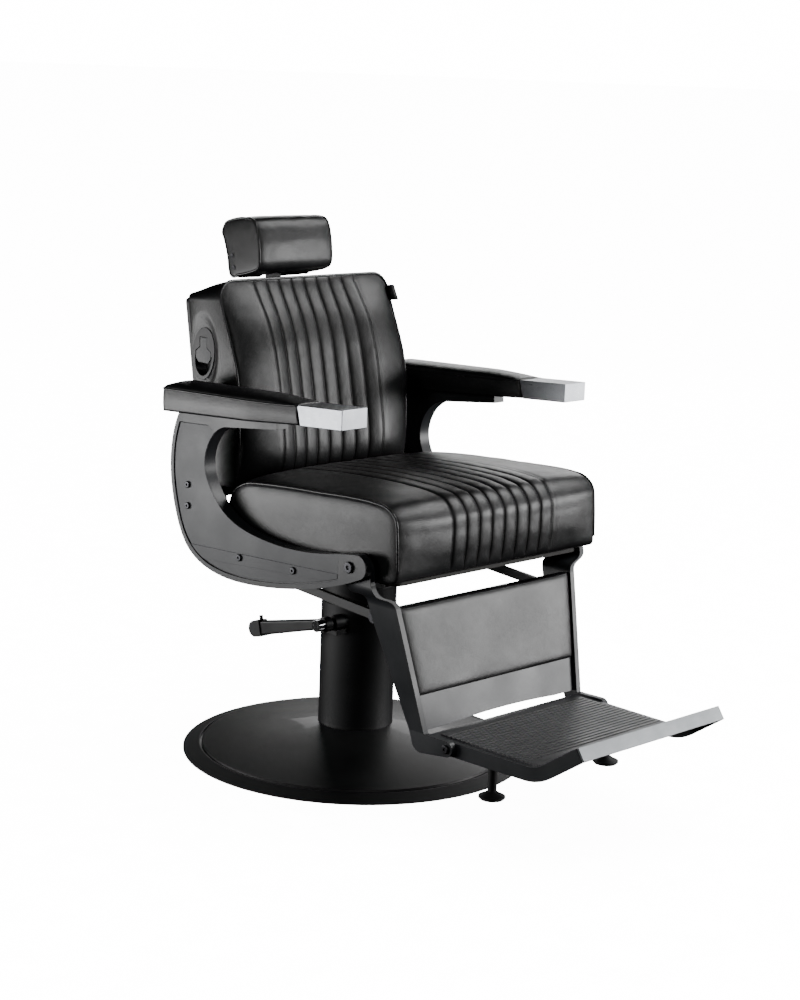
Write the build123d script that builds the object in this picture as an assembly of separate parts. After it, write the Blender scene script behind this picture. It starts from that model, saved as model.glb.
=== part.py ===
"""Hydraulic barber chair, in millimetres.

The chair stands on z = 0 with the column axis on the Z axis. It faces -Y, and
the sitter's right hand is at -X. Outlines seen from the side are drawn as (y, z).
"""
from build123d import *
from math import asin, cos, radians, sin, sqrt, tan
import os

# ---------------------------------------------------------------- driving sizes
# Base and column
BASE_R = 350.0            # radius on the floor
RIM_WIDTH = 34.0          # width of the sloping edge trim
RIM_EDGE = 3.0            # height of the trim at its outer edge
RIM_H = 13.0              # height of the trim at its inner edge
BASE_PLATE_T = 9.0
DOME_TOP = 60.0           # height of the domed cover where it meets the column
SHEET_T = 2.5             # sheet metal of the domed cover
COLUMN_R = 76.0           # outer radius of column cover and sleeve
COLUMN_WALL = 3.0
COLUMN_TOP = 315.0
SLEEVE_GAP = 5.0          # open line between column cover and sleeve
SLEEVE_H = 52.0
PUMP_R = 35.0             # hydraulic cylinder
PISTON_R = 25.0
PUMP_TOP = 298.0
PISTON_FOOT = 60.0        # lower end of the piston with the seat at its lowest

# Pedal
PEDAL_Y = -25.0
PEDAL_Z = 285.0
PEDAL_SHAFT_R = 8.0
PEDAL_ARM_X = -116.0      # middle of the lever bar
PEDAL_ARM_T = 18.0
PEDAL_LENGTH = 222.0      # from the shaft to the end of the grip
PEDAL_DROP = 14.0         # degrees below level at rest
CAM_REACH = 28.0          # shaft axis to the plunger axis
CAM_NOSE_R = 6.0
CAM_T = 11.0
PLUNGER_R = 5.0
PLUNGER_BOSS_Z = 255.0

# Seat
SEAT_W = 548.0
SEAT_BACK_Y = 89.0
SEAT_FRONT_Y = -376.0
SEAT_TOP = 600.0
SEAT_BOARD_T = 12.0
CROSS_TUBE_H = 15.0
CROSS_TUBE_D = 30.0
RAIL_H = 37.0
RAIL_W = 40.0
RAIL_X = 110.0            # middle of each seat rail
RAIL_Y = (-200.0, 70.0)
FRONT_TUBE_Y = -200.0
REAR_TUBE_Y = 30.0
RAIL_BOLT_Y = (-80.0, 50.0)
MOUNT_PLATE_T = 8.0

# Side frames and arms
FRAME_GAP = 10.0          # cushion side to the inner face of the casting
FRAME_T = 29.0
LIP_W = 10.0              # raised lip round the outer edge of the casting
RECESS = 4.0              # depth of the recess that the panel lies in
PANEL_GROOVE = 3.0
PANEL_PROUD = 1.5         # panel face below the lip
ARM_PAD_W = 83.0
ARM_PAD_H = 47.0          # at its rear end, up to the bead
ARM_CORNER_R = 16.0
ARM_REAR_Y = 220.0
ARM_PAD_OVERHANG = 32.0   # how far the pad stands outside the casting
ARM_TIP_W = 63.0
ARM_TILT = -3.3           # the arms rise towards the front, in degrees about +X
ARM_TIP_H = 37.0
BRACKET_T = 7.0           # inner bracket that carries the back
HINGE_T = 9.0

# Backrest
BACK_INSET = 45.0         # each side of the back inside the side of the seat
BACK_PIVOT = (148.0, 478.0)
RECLINE = 35.0            # full recline in degrees
BACK_SHELL_T = 12.0
BACK_LEAN = 9.46          # lean of the rear shell from upright, in degrees
BACK_FOOT_Z = 548.0
BACK_CORNER_R = 26.0
SHELL_CORNER_R = 14.0
BOLSTER_X = 140.0         # inner edge of each side bolster
BOARD_T = 14.0
PIVOT_PIN_R = 9.0
BEZEL = (227.0, 803.0)
BEZEL_H = 105.0
BEZEL_W = 66.0
BEZEL_DEPTH = 22.0
PADDLE_T = 4.0
PADDLE_TOP = 835.0
PADDLE_SHOULDER = 815.0
PADDLE_FOOT = 785.0
PADDLE_STEM_W = 20.0
PADDLE_W = 44.0

# Headrest
HEAD_W = 197.0
STEM_W = 36.0
STEM_T = 8.0
STEM_FOOT = (284.0, 940.0)    # where the stem's middle leaves the top of the back
HEAD_PIVOT_UP = 46.0          # along the stem from there to the tilt pivot
STEM_IN = 190.0               # length of stem inside the back

# Footrest
LEG_PIVOT = (-292.0, 480.0)
FOOT_SWING = 24.0         # degrees at full recline
LEG_T = 12.0
LEG_KNEE_INSET = 36.5     # inner face of each leg inside the side of the seat, below the joggle
LEG_KNEE_Z = 402.0
LEG_FOOT_INSET = 63.4     # the same where the leg turns upright again
LEG_FOOT_Z = 176.0
KICK_TOP = 241.0          # the calf pad begins just above the kick panel
JOGGLE_TOP = 446.0
LEG_POCKET_GAP = 0.5
FOOTPLATE_HINGE = (-465.0, 161.0)
FOOTPLATE_TOP = 172.0
FOOTPLATE_REAR = -407.0
FOOTPLATE_BEND = -640.0
FOOTPLATE_END = -753.0
NOSE_INSET = 9.6          # each side of the lip inside the legs' feet
FOOTPLATE_GAP = 1.1           # leg's inner face to the footplate's flange
FLANGE_D = 27.0
PLATE_T = 3.0
NOSE_RISE = 34.0              # slope of the upturned end in degrees
NOSE_R = 80.0
RIB_PITCH = 11.0
STOP_INSET = 48.6         # each stop foot inside the legs' feet
STOP_Y = -528.0
STOP_Z = 71.0
STOP_R = 25.0
LIP_T = 4.0

# Link between footrest and back
LINK_PIN = (-280.0, 372.0)
LINK_H = 17.0
LINK_T = 10.0
LINK_INSET = 18.5         # inner face of each link bar inside the legs' knees
LINK_PIN_R = 6.0
CRANK_T = 9.0
LOCK_INSET = 19.0         # middle of the recline lock inside the link bar
LOCK_R = 11.0
LOCK_ROD_R = 6.0

# Clearances
RUN = 0.05                # radial running fit of pins and shafts
SIDE_GAP = 1.0            # beside parts that turn next to each other
SLOT_PLAY = 0.6           # play across the slots that the crank pins work in

# ---------------------------------------------------------------- worked out
PEDAL_BUSH_X = -COLUMN_R - 22.0
PLUNGER_X = -(PUMP_R + COLUMN_R - COLUMN_WALL) / 2 + 1.5      # midway between cylinder and cover
SEAT_X = SEAT_W / 2
FRAME_IN = SEAT_X + FRAME_GAP
FRAME_OUT = FRAME_IN + FRAME_T
BACK_W = SEAT_W - 2 * BACK_INSET
BACK_X = BACK_W / 2
LEG_KNEE = (SEAT_X - LEG_KNEE_INSET, LEG_KNEE_Z)
LEG_FOOT = (SEAT_X - LEG_FOOT_INSET, LEG_FOOT_Z)
FOOTPLATE_NOSE_X = LEG_FOOT[0] - NOSE_INSET
STOP_X = LEG_FOOT[0] - STOP_INSET
LINK_X = LEG_KNEE[0] - LINK_INSET
LOCK_X = LINK_X - LOCK_INSET
SLEEVE_Z = COLUMN_TOP + SLEEVE_GAP
SLEEVE_TOP = SLEEVE_Z + SLEEVE_H
MOUNT_Z = SLEEVE_TOP + 14.0
RAIL_Z = MOUNT_Z + MOUNT_PLATE_T
TUBE_Z = RAIL_Z + RAIL_H
BOARD_Z = TUBE_Z + CROSS_TUBE_H
CRANK_DX = LINK_PIN[0] - LEG_PIVOT[0]
CRANK_DZ = LINK_PIN[1] - LEG_PIVOT[1]
LINK_SHIFT = (sqrt(CRANK_DX**2 + CRANK_DZ**2)
              * (sin(asin(CRANK_DX / sqrt(CRANK_DX**2 + CRANK_DZ**2)))
                 - sin(asin(CRANK_DX / sqrt(CRANK_DX**2 + CRANK_DZ**2)) - radians(FOOT_SWING))))
CRANK_R = LINK_SHIFT / (2 * sin(radians(RECLINE / 2)))
CRANK_PIN = (BACK_PIVOT[0] + CRANK_R * sin(radians(RECLINE / 2)),
             BACK_PIVOT[1] - CRANK_R * cos(radians(RECLINE / 2)))
CRANK_DIP = CRANK_R * (1 - cos(radians(RECLINE / 2)))
LEAN = tan(radians(BACK_LEAN))
HINGE_OUT = FRAME_IN - BRACKET_T - SIDE_GAP
HINGE_IN = HINGE_OUT - HINGE_T
SPRING_H = PEDAL_Z - CAM_NOSE_R - 4.0 - PLUNGER_BOSS_Z


# ---------------------------------------------------------------- helpers
def plate_x(face, x0, x1):
    """Solid between two x planes from a face drawn as (y, z)."""
    return extrude(Plane.YZ.offset(x0) * face, x1 - x0)


def plate_y(face, y0, y1):
    """Solid between two y planes from a face drawn as (x, z)."""
    plane = Plane(origin=(0, y1, 0), x_dir=(1, 0, 0), z_dir=(0, -1, 0))
    return extrude(plane * face, y1 - y0)


def plate_z(face, z0, z1):
    """Solid between two z planes from a face drawn as (x, y)."""
    return extrude(Plane.XY.offset(z0) * face, z1 - z0)


def polygon(*points):
    return make_face(Polyline(*points, close=True))


def outline(*edges):
    """Face inside a closed run of edges."""
    return make_face(Wire(edges))


def box(x0, x1, y0, y1, z0, z1):
    size = Box(x1 - x0, y1 - y0, z1 - z0)
    return Pos((x0 + x1) / 2, (y0 + y1) / 2, (z0 + z1) / 2) * size


def rod_x(r, y, z, x0, x1):
    return Pos((x0 + x1) / 2, y, z) * Rot(0, 90, 0) * Cylinder(r, abs(x1 - x0))


def rod_y(r, x, z, y0, y1):
    return Pos(x, (y0 + y1) / 2, z) * Rot(90, 0, 0) * Cylinder(r, abs(y1 - y0))


def rod_z(r, x, y, z0, z1):
    return Pos(x, y, (z0 + z1) / 2) * Cylinder(r, z1 - z0)


def ring_z(r_in, r_out, z0, z1):
    return rod_z(r_out, 0, 0, z0, z1) - rod_z(r_in, 0, 0, z0 - 1, z1 + 1)


def screw_x(r_head, r_shank, y, z, face_x, out, head, length):
    """Button-head screw along X; out is the side (+1 or -1) that the head faces."""
    body = rod_x(r_head, y, z, face_x, face_x + out * head)
    body = fillet(body.edges().group_by(Axis.X)[-1 if out > 0 else 0], head * 0.45)
    socket = RegularPolygon(r_head * 0.42, 6)
    cut = plate_x(Pos(y, z) * socket, face_x + out * head * 0.45, face_x + out * (head + 1))
    return body - cut + rod_x(r_shank, y, z, face_x - out * length, face_x)


def hull(*faces):
    """Flat convex outline round several faces."""
    return make_hull([edge for face in faces for edge in face.edges()])


def mirrored(shape):
    return mirror(shape, about=Plane.YZ)


def arm_top(y):
    """Height of the line that the arm pad's underside follows."""
    return 717.0 + (y + 86.0) * tan(radians(ARM_TILT))


def shell_y(z):
    """Outer face of the rear shell at a height."""
    return 291.0 + (z - 905.0) * LEAN


# ---------------------------------------------------------------- base and column
def base_parts():
    rim_in = BASE_R - RIM_WIDTH
    rim = revolve(Plane.XZ * polygon(
        (rim_in, 0), (BASE_R, 0), (BASE_R, RIM_EDGE), (rim_in + 2, RIM_H), (rim_in, RIM_H)), Axis.Z)
    flange_r = COLUMN_R + 4
    flange_z = BASE_PLATE_T + 14
    bolt_r = COLUMN_R - COLUMN_WALL - 11
    bolt_spots = [(bolt_r * cos(radians(a)), bolt_r * sin(radians(a))) for a in (45, 135, 225, 315)]
    plate = rod_z(rim_in, 0, 0, 0, BASE_PLATE_T)
    flange = rod_z(flange_r, 0, 0, BASE_PLATE_T, flange_z)
    bolts = []
    for x, y in bolt_spots:
        shank = rod_z(5, x, y, 3, flange_z)
        plate -= shank
        flange -= shank
        bolts.append(shank + plate_z(Pos(x, y) * RegularPolygon(9, 6), flange_z, flange_z + 7))

    shoulder = rim_in - 4
    top_r = COLUMN_R + 0.5

    def dome_arc(drop):
        low = RIM_H + 3 - drop
        high = DOME_TOP - drop
        middle = ((shoulder + top_r) / 2 - 8, low + (high - low) * 0.58)
        return (shoulder - 2, low), middle, (top_r, high)

    outer = dome_arc(0)
    inner = dome_arc(SHEET_T)
    cover = revolve(Plane.XZ * outline(
        Line((shoulder, BASE_PLATE_T), (shoulder, RIM_H)),
        Line((shoulder, RIM_H), outer[0]),
        ThreePointArc(*outer),
        Line(outer[2], inner[2]),
        ThreePointArc(inner[2], inner[1], (shoulder - SHEET_T - 1, inner[0][1])),
        Line((shoulder - SHEET_T - 1, inner[0][1]), (shoulder - SHEET_T, BASE_PLATE_T)),
        Line((shoulder - SHEET_T, BASE_PLATE_T), (shoulder, BASE_PLATE_T))), Axis.Z)

    plunger_y = PEDAL_Y + CAM_REACH
    housing = rod_z(PUMP_R, 0, 0, BASE_PLATE_T, PUMP_TOP) + flange
    housing += rod_z(10, PLUNGER_X, plunger_y, 190, PLUNGER_BOSS_Z)
    housing += box(PLUNGER_X, -PUMP_R + 6, plunger_y - 6, plunger_y + 6, 190, PLUNGER_BOSS_Z)
    housing -= rod_z(PISTON_R + RUN, 0, 0, BASE_PLATE_T + 12, PUMP_TOP + 1)
    housing -= rod_z(PLUNGER_R + RUN, PLUNGER_X, plunger_y, 205, PLUNGER_BOSS_Z + 1)
    gland = ring_z(PISTON_R + RUN, PUMP_R, PUMP_TOP, PUMP_TOP + 10)

    shaft_hole = rod_x(PEDAL_SHAFT_R + 1, PEDAL_Y, PEDAL_Z, -COLUMN_R - 1, -COLUMN_R / 2)
    column = ring_z(COLUMN_R - COLUMN_WALL, COLUMN_R, flange_z, COLUMN_TOP) - shaft_hole
    column += ring_z(PUMP_R + 0.5, COLUMN_R, COLUMN_TOP - COLUMN_WALL, COLUMN_TOP)

    x_in = -COLUMN_R / 2
    bush = rod_x(15, PEDAL_Y, PEDAL_Z, PEDAL_BUSH_X, x_in)
    bush += box(PEDAL_BUSH_X, x_in, PEDAL_Y - 14, PEDAL_Y + 14, 262, 272)
    bush += box(PEDAL_BUSH_X, x_in, PEDAL_Y - 8, PEDAL_Y + 8, 268, PEDAL_Z)
    bush -= rod_z(COLUMN_R, 0, 0, 200, COLUMN_TOP)
    bush -= rod_x(PEDAL_SHAFT_R + RUN, PEDAL_Y, PEDAL_Z, PEDAL_BUSH_X - 1, x_in)

    coil = Helix(pitch=4.0, height=SPRING_H - 2.0, radius=6.8)
    wire = Plane(origin=coil @ 0, z_dir=coil % 0) * Circle(0.8)
    spring = Pos(PLUNGER_X, plunger_y, PLUNGER_BOSS_Z + 1.0) * sweep(wire, coil)
    return {
        "base_rim": rim, "base_plate": plate, "base_cover": cover, "base_bolts": Compound(bolts),
        "pump_cylinder": housing, "pump_gland": gland, "column_cover": column,
        "pedal_bush": bush, "pedal_spring": spring}


def pedal_parts():
    plunger_y = PEDAL_Y + CAM_REACH
    hub_r = PEDAL_SHAFT_R + 5
    arm_x0 = PEDAL_ARM_X - PEDAL_ARM_T / 2
    arm_x1 = PEDAL_ARM_X + PEDAL_ARM_T / 2
    shaft = rod_x(PEDAL_SHAFT_R, PEDAL_Y, PEDAL_Z, arm_x0 - 16, -42)

    cam_x0 = PLUNGER_X - CAM_T / 2
    cam_x1 = PLUNGER_X + CAM_T / 2
    cam = rod_x(13, PEDAL_Y, PEDAL_Z, cam_x0, cam_x1)
    cam += box(cam_x0, cam_x1, PEDAL_Y, plunger_y, PEDAL_Z - 4, PEDAL_Z + 4)
    cam += rod_x(CAM_NOSE_R, plunger_y, PEDAL_Z, cam_x0, cam_x1)
    shaft += cam

    # the lever is drawn level and then turned down about the shaft
    grip_start = PEDAL_LENGTH - 34
    peg_r = 4.0
    lever = rod_x(hub_r + 2, 0, 0, arm_x0, arm_x1)
    lever += plate_x(polygon((0, -9), (0, 11), (grip_start, 15), (grip_start, -15)), arm_x0, arm_x1)
    lever = fillet(lever.edges().filter_by(GeomType.LINE).filter_by(
        lambda e: e.length > 100), 4)
    lever -= rod_x(PEDAL_SHAFT_R, 0, 0, arm_x0 - 1, arm_x1 + 1)
    grip = plate_x(outline(
        Line((grip_start, -17), (grip_start, 17)),
        Line((grip_start, 17), (PEDAL_LENGTH - 17, 17)),
        ThreePointArc((PEDAL_LENGTH - 17, 17), (PEDAL_LENGTH, 0), (PEDAL_LENGTH - 17, -17)),
        Line((PEDAL_LENGTH - 17, -17), (grip_start, -17))), arm_x0 - 3, arm_x1 + 3)
    for k in range(4):
        groove = box(arm_x0 - 5, arm_x1 + 5, grip_start + 6 + 6 * k, grip_start + 8 + 6 * k, 15, 20)
        grip -= groove
    grip += rod_z(peg_r, PEDAL_ARM_X, grip_start + 3, 16, 26)
    turn = Pos(0, PEDAL_Y, PEDAL_Z) * Rot(-PEDAL_DROP, 0, 0)
    collar = rod_x(PEDAL_SHAFT_R + 4, PEDAL_Y, PEDAL_Z, arm_x0 - 16, arm_x0)
    shaft += collar

    nose_bottom = PEDAL_Z - CAM_NOSE_R - 0.1
    plunger = rod_z(PLUNGER_R, PLUNGER_X, plunger_y, 222, nose_bottom)
    plunger += rod_z(PLUNGER_R + 3.5, PLUNGER_X, plunger_y, nose_bottom - 3.5, nose_bottom)
    return {
        "pedal_shaft": shaft, "pedal_lever": turn * lever, "pedal_grip": turn * grip,
        "pump_plunger": plunger}


def lift_parts():
    piston = rod_z(PISTON_R, 0, 0, PISTON_FOOT, RAIL_Z + 3)
    top_t = 6.0
    sleeve = ring_z(COLUMN_R - COLUMN_WALL, COLUMN_R, SLEEVE_Z, SLEEVE_TOP)
    sleeve += ring_z(PISTON_R, COLUMN_R, SLEEVE_TOP - top_t, SLEEVE_TOP)
    bearing = ring_z(PISTON_R, 46, SLEEVE_TOP, SLEEVE_TOP + 6)
    piston += ring_z(PISTON_R, PISTON_R + 6, RAIL_Z + 0.5, RAIL_Z + 3)
    return {"lift_piston": piston, "column_sleeve": sleeve, "swivel_bearing": bearing}


# ---------------------------------------------------------------- seat frame
def seat_frame_parts():
    hub_z = SLEEVE_TOP + 6.5
    mount = box(-130, 130, -100, 100, MOUNT_Z, RAIL_Z) + rod_z(42, 0, 0, hub_z, MOUNT_Z)
    mount -= rod_z(PISTON_R + RUN, 0, 0, hub_z - 1, RAIL_Z + 1)
    bolts = []
    for x in (-RAIL_X, RAIL_X):
        for y in RAIL_BOLT_Y:
            shank = rod_z(4, x, y, MOUNT_Z, RAIL_Z + 12)
            mount -= shank
            bolts.append(shank + plate_z(Pos(x, y) * RegularPolygon(7.5, 6), MOUNT_Z - 5, MOUNT_Z))

    def rail(side):
        x0 = side * RAIL_X - RAIL_W / 2
        x1 = side * RAIL_X + RAIL_W / 2
        wall = 3.0
        tube = box(x0, x1, *RAIL_Y, RAIL_Z, TUBE_Z)
        tube -= box(x0 + wall, x1 - wall, RAIL_Y[0] - 1, RAIL_Y[1] + 1, RAIL_Z + wall, TUBE_Z - wall)
        for y in RAIL_BOLT_Y:
            tube -= rod_z(4, side * RAIL_X, y, RAIL_Z - 1, RAIL_Z + 12)
        return tube

    def cross(y0):
        tube = box(-FRAME_IN, FRAME_IN, y0, y0 + CROSS_TUBE_D, TUBE_Z, BOARD_Z)
        return tube - box(-FRAME_IN - 1, FRAME_IN + 1, y0 + 2, y0 + CROSS_TUBE_D - 2,
                          TUBE_Z + 2, BOARD_Z - 2)

    board = box(-SEAT_X + 18, SEAT_X - 18, SEAT_FRONT_Y + 22, SEAT_BACK_Y - 12,
                BOARD_Z, BOARD_Z + SEAT_BOARD_T)
    board = fillet(board.edges().filter_by(Axis.Z), 20)
    cushion_z = BOARD_Z + SEAT_BOARD_T
    top = SEAT_TOP
    side = outline(
        Line((SEAT_FRONT_Y + 12, cushion_z), (SEAT_BACK_Y - 6, cushion_z)),
        Spline((SEAT_BACK_Y - 6, cushion_z), (SEAT_BACK_Y, top - 78), (SEAT_BACK_Y - 24, top - 24),
               (SEAT_BACK_Y - 90, top - 6), (-110, top + 4), (-240, top + 6), (SEAT_FRONT_Y + 44, top),
               (SEAT_FRONT_Y + 8, top - 22), (SEAT_FRONT_Y, top - 62), (SEAT_FRONT_Y + 2, cushion_z + 16),
               (SEAT_FRONT_Y + 12, cushion_z)))
    cushion = plate_x(side, -SEAT_X, SEAT_X)
    return {
        "seat_mount_plate": mount, "seat_mount_bolts": Compound(bolts),
        "seat_rails": Compound([rail(-1), rail(1)]),
        "seat_cross_tubes": Compound([cross(FRONT_TUBE_Y), cross(REAR_TUBE_Y)]),
        "seat_board": board, "seat_cushion": cushion}


# ---------------------------------------------------------------- side frames and arms
def frame_outline():
    """Closed C of the casting: outer edge up the back, inner edge round the opening."""
    front_low = (-322, 463)
    front_high = (-306, 505)
    top_rear = (198, arm_top(198))
    top_front = (-86, arm_top(-86))
    throat = (-87, 703)
    outer = [
        Spline(top_rear, (219, 643), (223, 585), (206, 502), (166, 433), (88, 398), (-10, 393),
               (-135, 408), (-275, 444), front_low),
        ThreePointArc(front_low, (-334, 485), front_high)]
    inner = [
        Spline(front_high, (-272, 501), (-228, 493), (-133, 484), (-33, 490), (54, 516), (102, 559),
               (121, 600), (107, 655), (59, 687)),
        Line((59, 687), throat)]
    ends = [Line(throat, top_front), Line(top_front, top_rear)]
    return outer, inner, ends


def side_frame_parts(side):
    """One casting, its inlaid panel and its fastenings; side is -1 on the right, 1 on the left."""
    def x(depth):
        """x of a plane a depth inward from the casting's outer face."""
        return side * (FRAME_OUT - depth)

    outer, inner, ends = frame_outline()
    face = make_face(Wire(outer + inner + ends))
    casting = plate_x(face, x(0), x(FRAME_T))
    pocket = FRAME_T - LEG_T - LEG_POCKET_GAP
    casting -= plate_x(Pos(-311, 470) * Rectangle(178, 180), x(pocket), x(FRAME_T + 1))

    # recess for the panel, inside the lip and clear of the boss and the top bar

    def panel_zone(lip, edge):
        """The casting's flat inside its lip, and clear of the boss and the top bar by an edge."""
        points = []
        for k in range(13):
            spot, along = outer[0] @ (k / 12), outer[0] % (k / 12)
            points.append((spot.X + along.Y * lip, spot.Y - along.X * lip))
        run = Spline(*points)
        far = 760.0
        inside = outline(run, Line(run @ 1, (-322, far)), Line((-322, far), (190, far)),
                         Line((190, far), run @ 0))
        zone = polygon((-262 + edge, 380), (260, 380), (260, 676 - edge), (112, 684 - edge),
                       (98, 676 - edge), (60, 560), (-262 + edge, 560))
        return inside & face & zone

    panel_face = panel_zone(LIP_W + PANEL_GROOVE, PANEL_GROOVE / 2)
    casting -= plate_x(panel_zone(LIP_W, 0), x(-1), x(RECESS))
    panel = plate_x(panel_face, x(PANEL_PROUD), x(RECESS))
    band = panel_face & polygon((200, 440), (-300, 462.5), (-300, 447), (200, 413.5))
    panel += plate_x(band, x(0), x(PANEL_PROUD))

    screws = []
    for y, z, depth in ((170, 558, PANEL_PROUD), (169, 516, PANEL_PROUD), (11, 441, 0), (-142, 445, 0)):
        screw = screw_x(7, 3.5, y, z, x(depth), side, 4, 18)
        hole = rod_x(3.5, y, z, x(-2), x(depth + 18))
        casting -= hole
        panel -= hole
        screws.append(screw)

    pivot_y, pivot_z = LEG_PIVOT
    pin = screw_x(11, 8, pivot_y, pivot_z, x(0), side, 5, FRAME_T + 2.5)
    casting -= rod_x(8, pivot_y, pivot_z, x(-1), x(FRAME_T))
    pin += rod_x(13, pivot_y, pivot_z, x(FRAME_T + 0.5), x(FRAME_T + 2.5))

    # inner bracket that carries the back's pivot pin
    by, bz = BACK_PIVOT
    bracket = plate_x(outline(
        Line((by - 18, bz), (by - 8, 575)), Line((by - 8, 575), (by + 36, 575)),
        Line((by + 36, 575), (by + 18, bz)),
        ThreePointArc((by + 18, bz), (by, bz - 18), (by - 18, bz))), x(FRAME_T), x(FRAME_T + BRACKET_T))
    bracket += rod_x(PIVOT_PIN_R, by, bz, x(FRAME_T), side * (HINGE_IN - 4))
    return casting, panel, screws, pin, bracket


def side_parts():
    """Both sides: the parts that are seen one by one, and the rest in groups of two."""
    pad, bar, tip, studs = arm_parts()
    nodes = {}
    screws, pins, brackets = [], [], []
    for name, side in (("right", -1), ("left", 1)):
        casting, panel, own_screws, pin, bracket = side_frame_parts(side)
        for stud in studs:
            casting -= stud if side < 0 else mirrored(stud)
        nodes["side_frame_" + name] = casting
        nodes["side_panel_" + name] = panel
        nodes["arm_pad_" + name] = pad if side < 0 else mirrored(pad)
        nodes["arm_tip_" + name] = tip if side < 0 else mirrored(tip)
        screws += own_screws
        pins.append(pin)
        brackets.append(bracket)
    nodes["side_screws"] = Compound(screws)
    nodes["footrest_pivot_pins"] = Compound(pins)
    nodes["back_brackets"] = Compound(brackets)
    nodes["arm_bars"] = Compound([bar, mirrored(bar)])
    return nodes


def arm_parts():
    """Right arm pad, its steel bar and the metal tip."""
    pad_out = FRAME_OUT + ARM_PAD_OVERHANG
    pad_in = pad_out - ARM_PAD_W
    middle = (pad_out + pad_in) / 2
    tip_out = middle + ARM_TIP_W / 2 + 0.5
    tip_in = tip_out - ARM_TIP_W
    tip_y0, tip_y1 = -284.0, -172.0
    rear = ARM_REAR_Y
    low = arm_top(rear)
    front_low = arm_top(tip_y1) + 3
    side = outline(
        Line((tip_y1, front_low), (rear - 14, arm_top(rear - 14) + 0.1)),
        Spline((rear - 14, arm_top(rear - 14) + 0.1), (rear, low + 22), (rear - 6, low + ARM_PAD_H)),
        Spline((rear - 6, low + ARM_PAD_H), (90, arm_top(90) + ARM_PAD_H + 9),
               (-60, arm_top(-60) + ARM_PAD_H + 7),
               (tip_y1, front_low + ARM_TIP_H + 1)),
        Line((tip_y1, front_low + ARM_TIP_H + 1), (tip_y1, front_low)))
    pad = plate_x(side, -pad_out, -pad_in)
    r = ARM_CORNER_R
    bow = r * (1 - cos(radians(45)))
    plan = outline(
        Line((-tip_out, tip_y1), (-pad_out, -40)), Line((-pad_out, -40), (-pad_out, rear - r)),
        ThreePointArc((-pad_out, rear - r), (-pad_out + bow, rear - bow), (-pad_out + r, rear)),
        Line((-pad_out + r, rear), (-pad_in - r, rear)),
        ThreePointArc((-pad_in - r, rear), (-pad_in - bow, rear - bow), (-pad_in, rear - r)),
        Line((-pad_in, rear - r), (-pad_in, -40)), Line((-pad_in, -40), (-tip_in, tip_y1)),
        Line((-tip_in, tip_y1), (-tip_out, tip_y1)))
    pad &= plate_z(plan, 600, 900)

    bar_w = 26.0
    bar_y0, bar_y1 = tip_y1 - 60, 150.0
    bar_side = polygon((bar_y0, arm_top(bar_y0) + 12), (bar_y0, arm_top(bar_y0) + 22),
                       (bar_y1, arm_top(bar_y1) + 22), (bar_y1, arm_top(bar_y1) + 12))
    bar = plate_x(bar_side, -middle - bar_w / 2, -middle + bar_w / 2)
    pad -= bar
    studs = []
    for y in (-50.0, 45.0, 135.0):
        spot = rod_z(4, -(FRAME_IN + FRAME_OUT) / 2, y, arm_top(y) - 9, arm_top(y) + 12.5)
        studs.append(spot)
        pad -= spot
    tilt = tan(radians(ARM_TILT))
    nose_low = front_low + (tip_y0 - tip_y1) * tilt
    tip_side = polygon(
        (tip_y0, nose_low), (tip_y0, nose_low + ARM_TIP_H),
        (tip_y1 + 8, front_low + ARM_TIP_H), (tip_y1 - 2, front_low))
    tip = plate_x(tip_side, -tip_out, -tip_in)
    tip = chamfer(tip.edges(), 0.8) - bar
    pad -= tip
    for spot in studs:
        bar += spot
    return pad, bar, tip, studs


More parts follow.
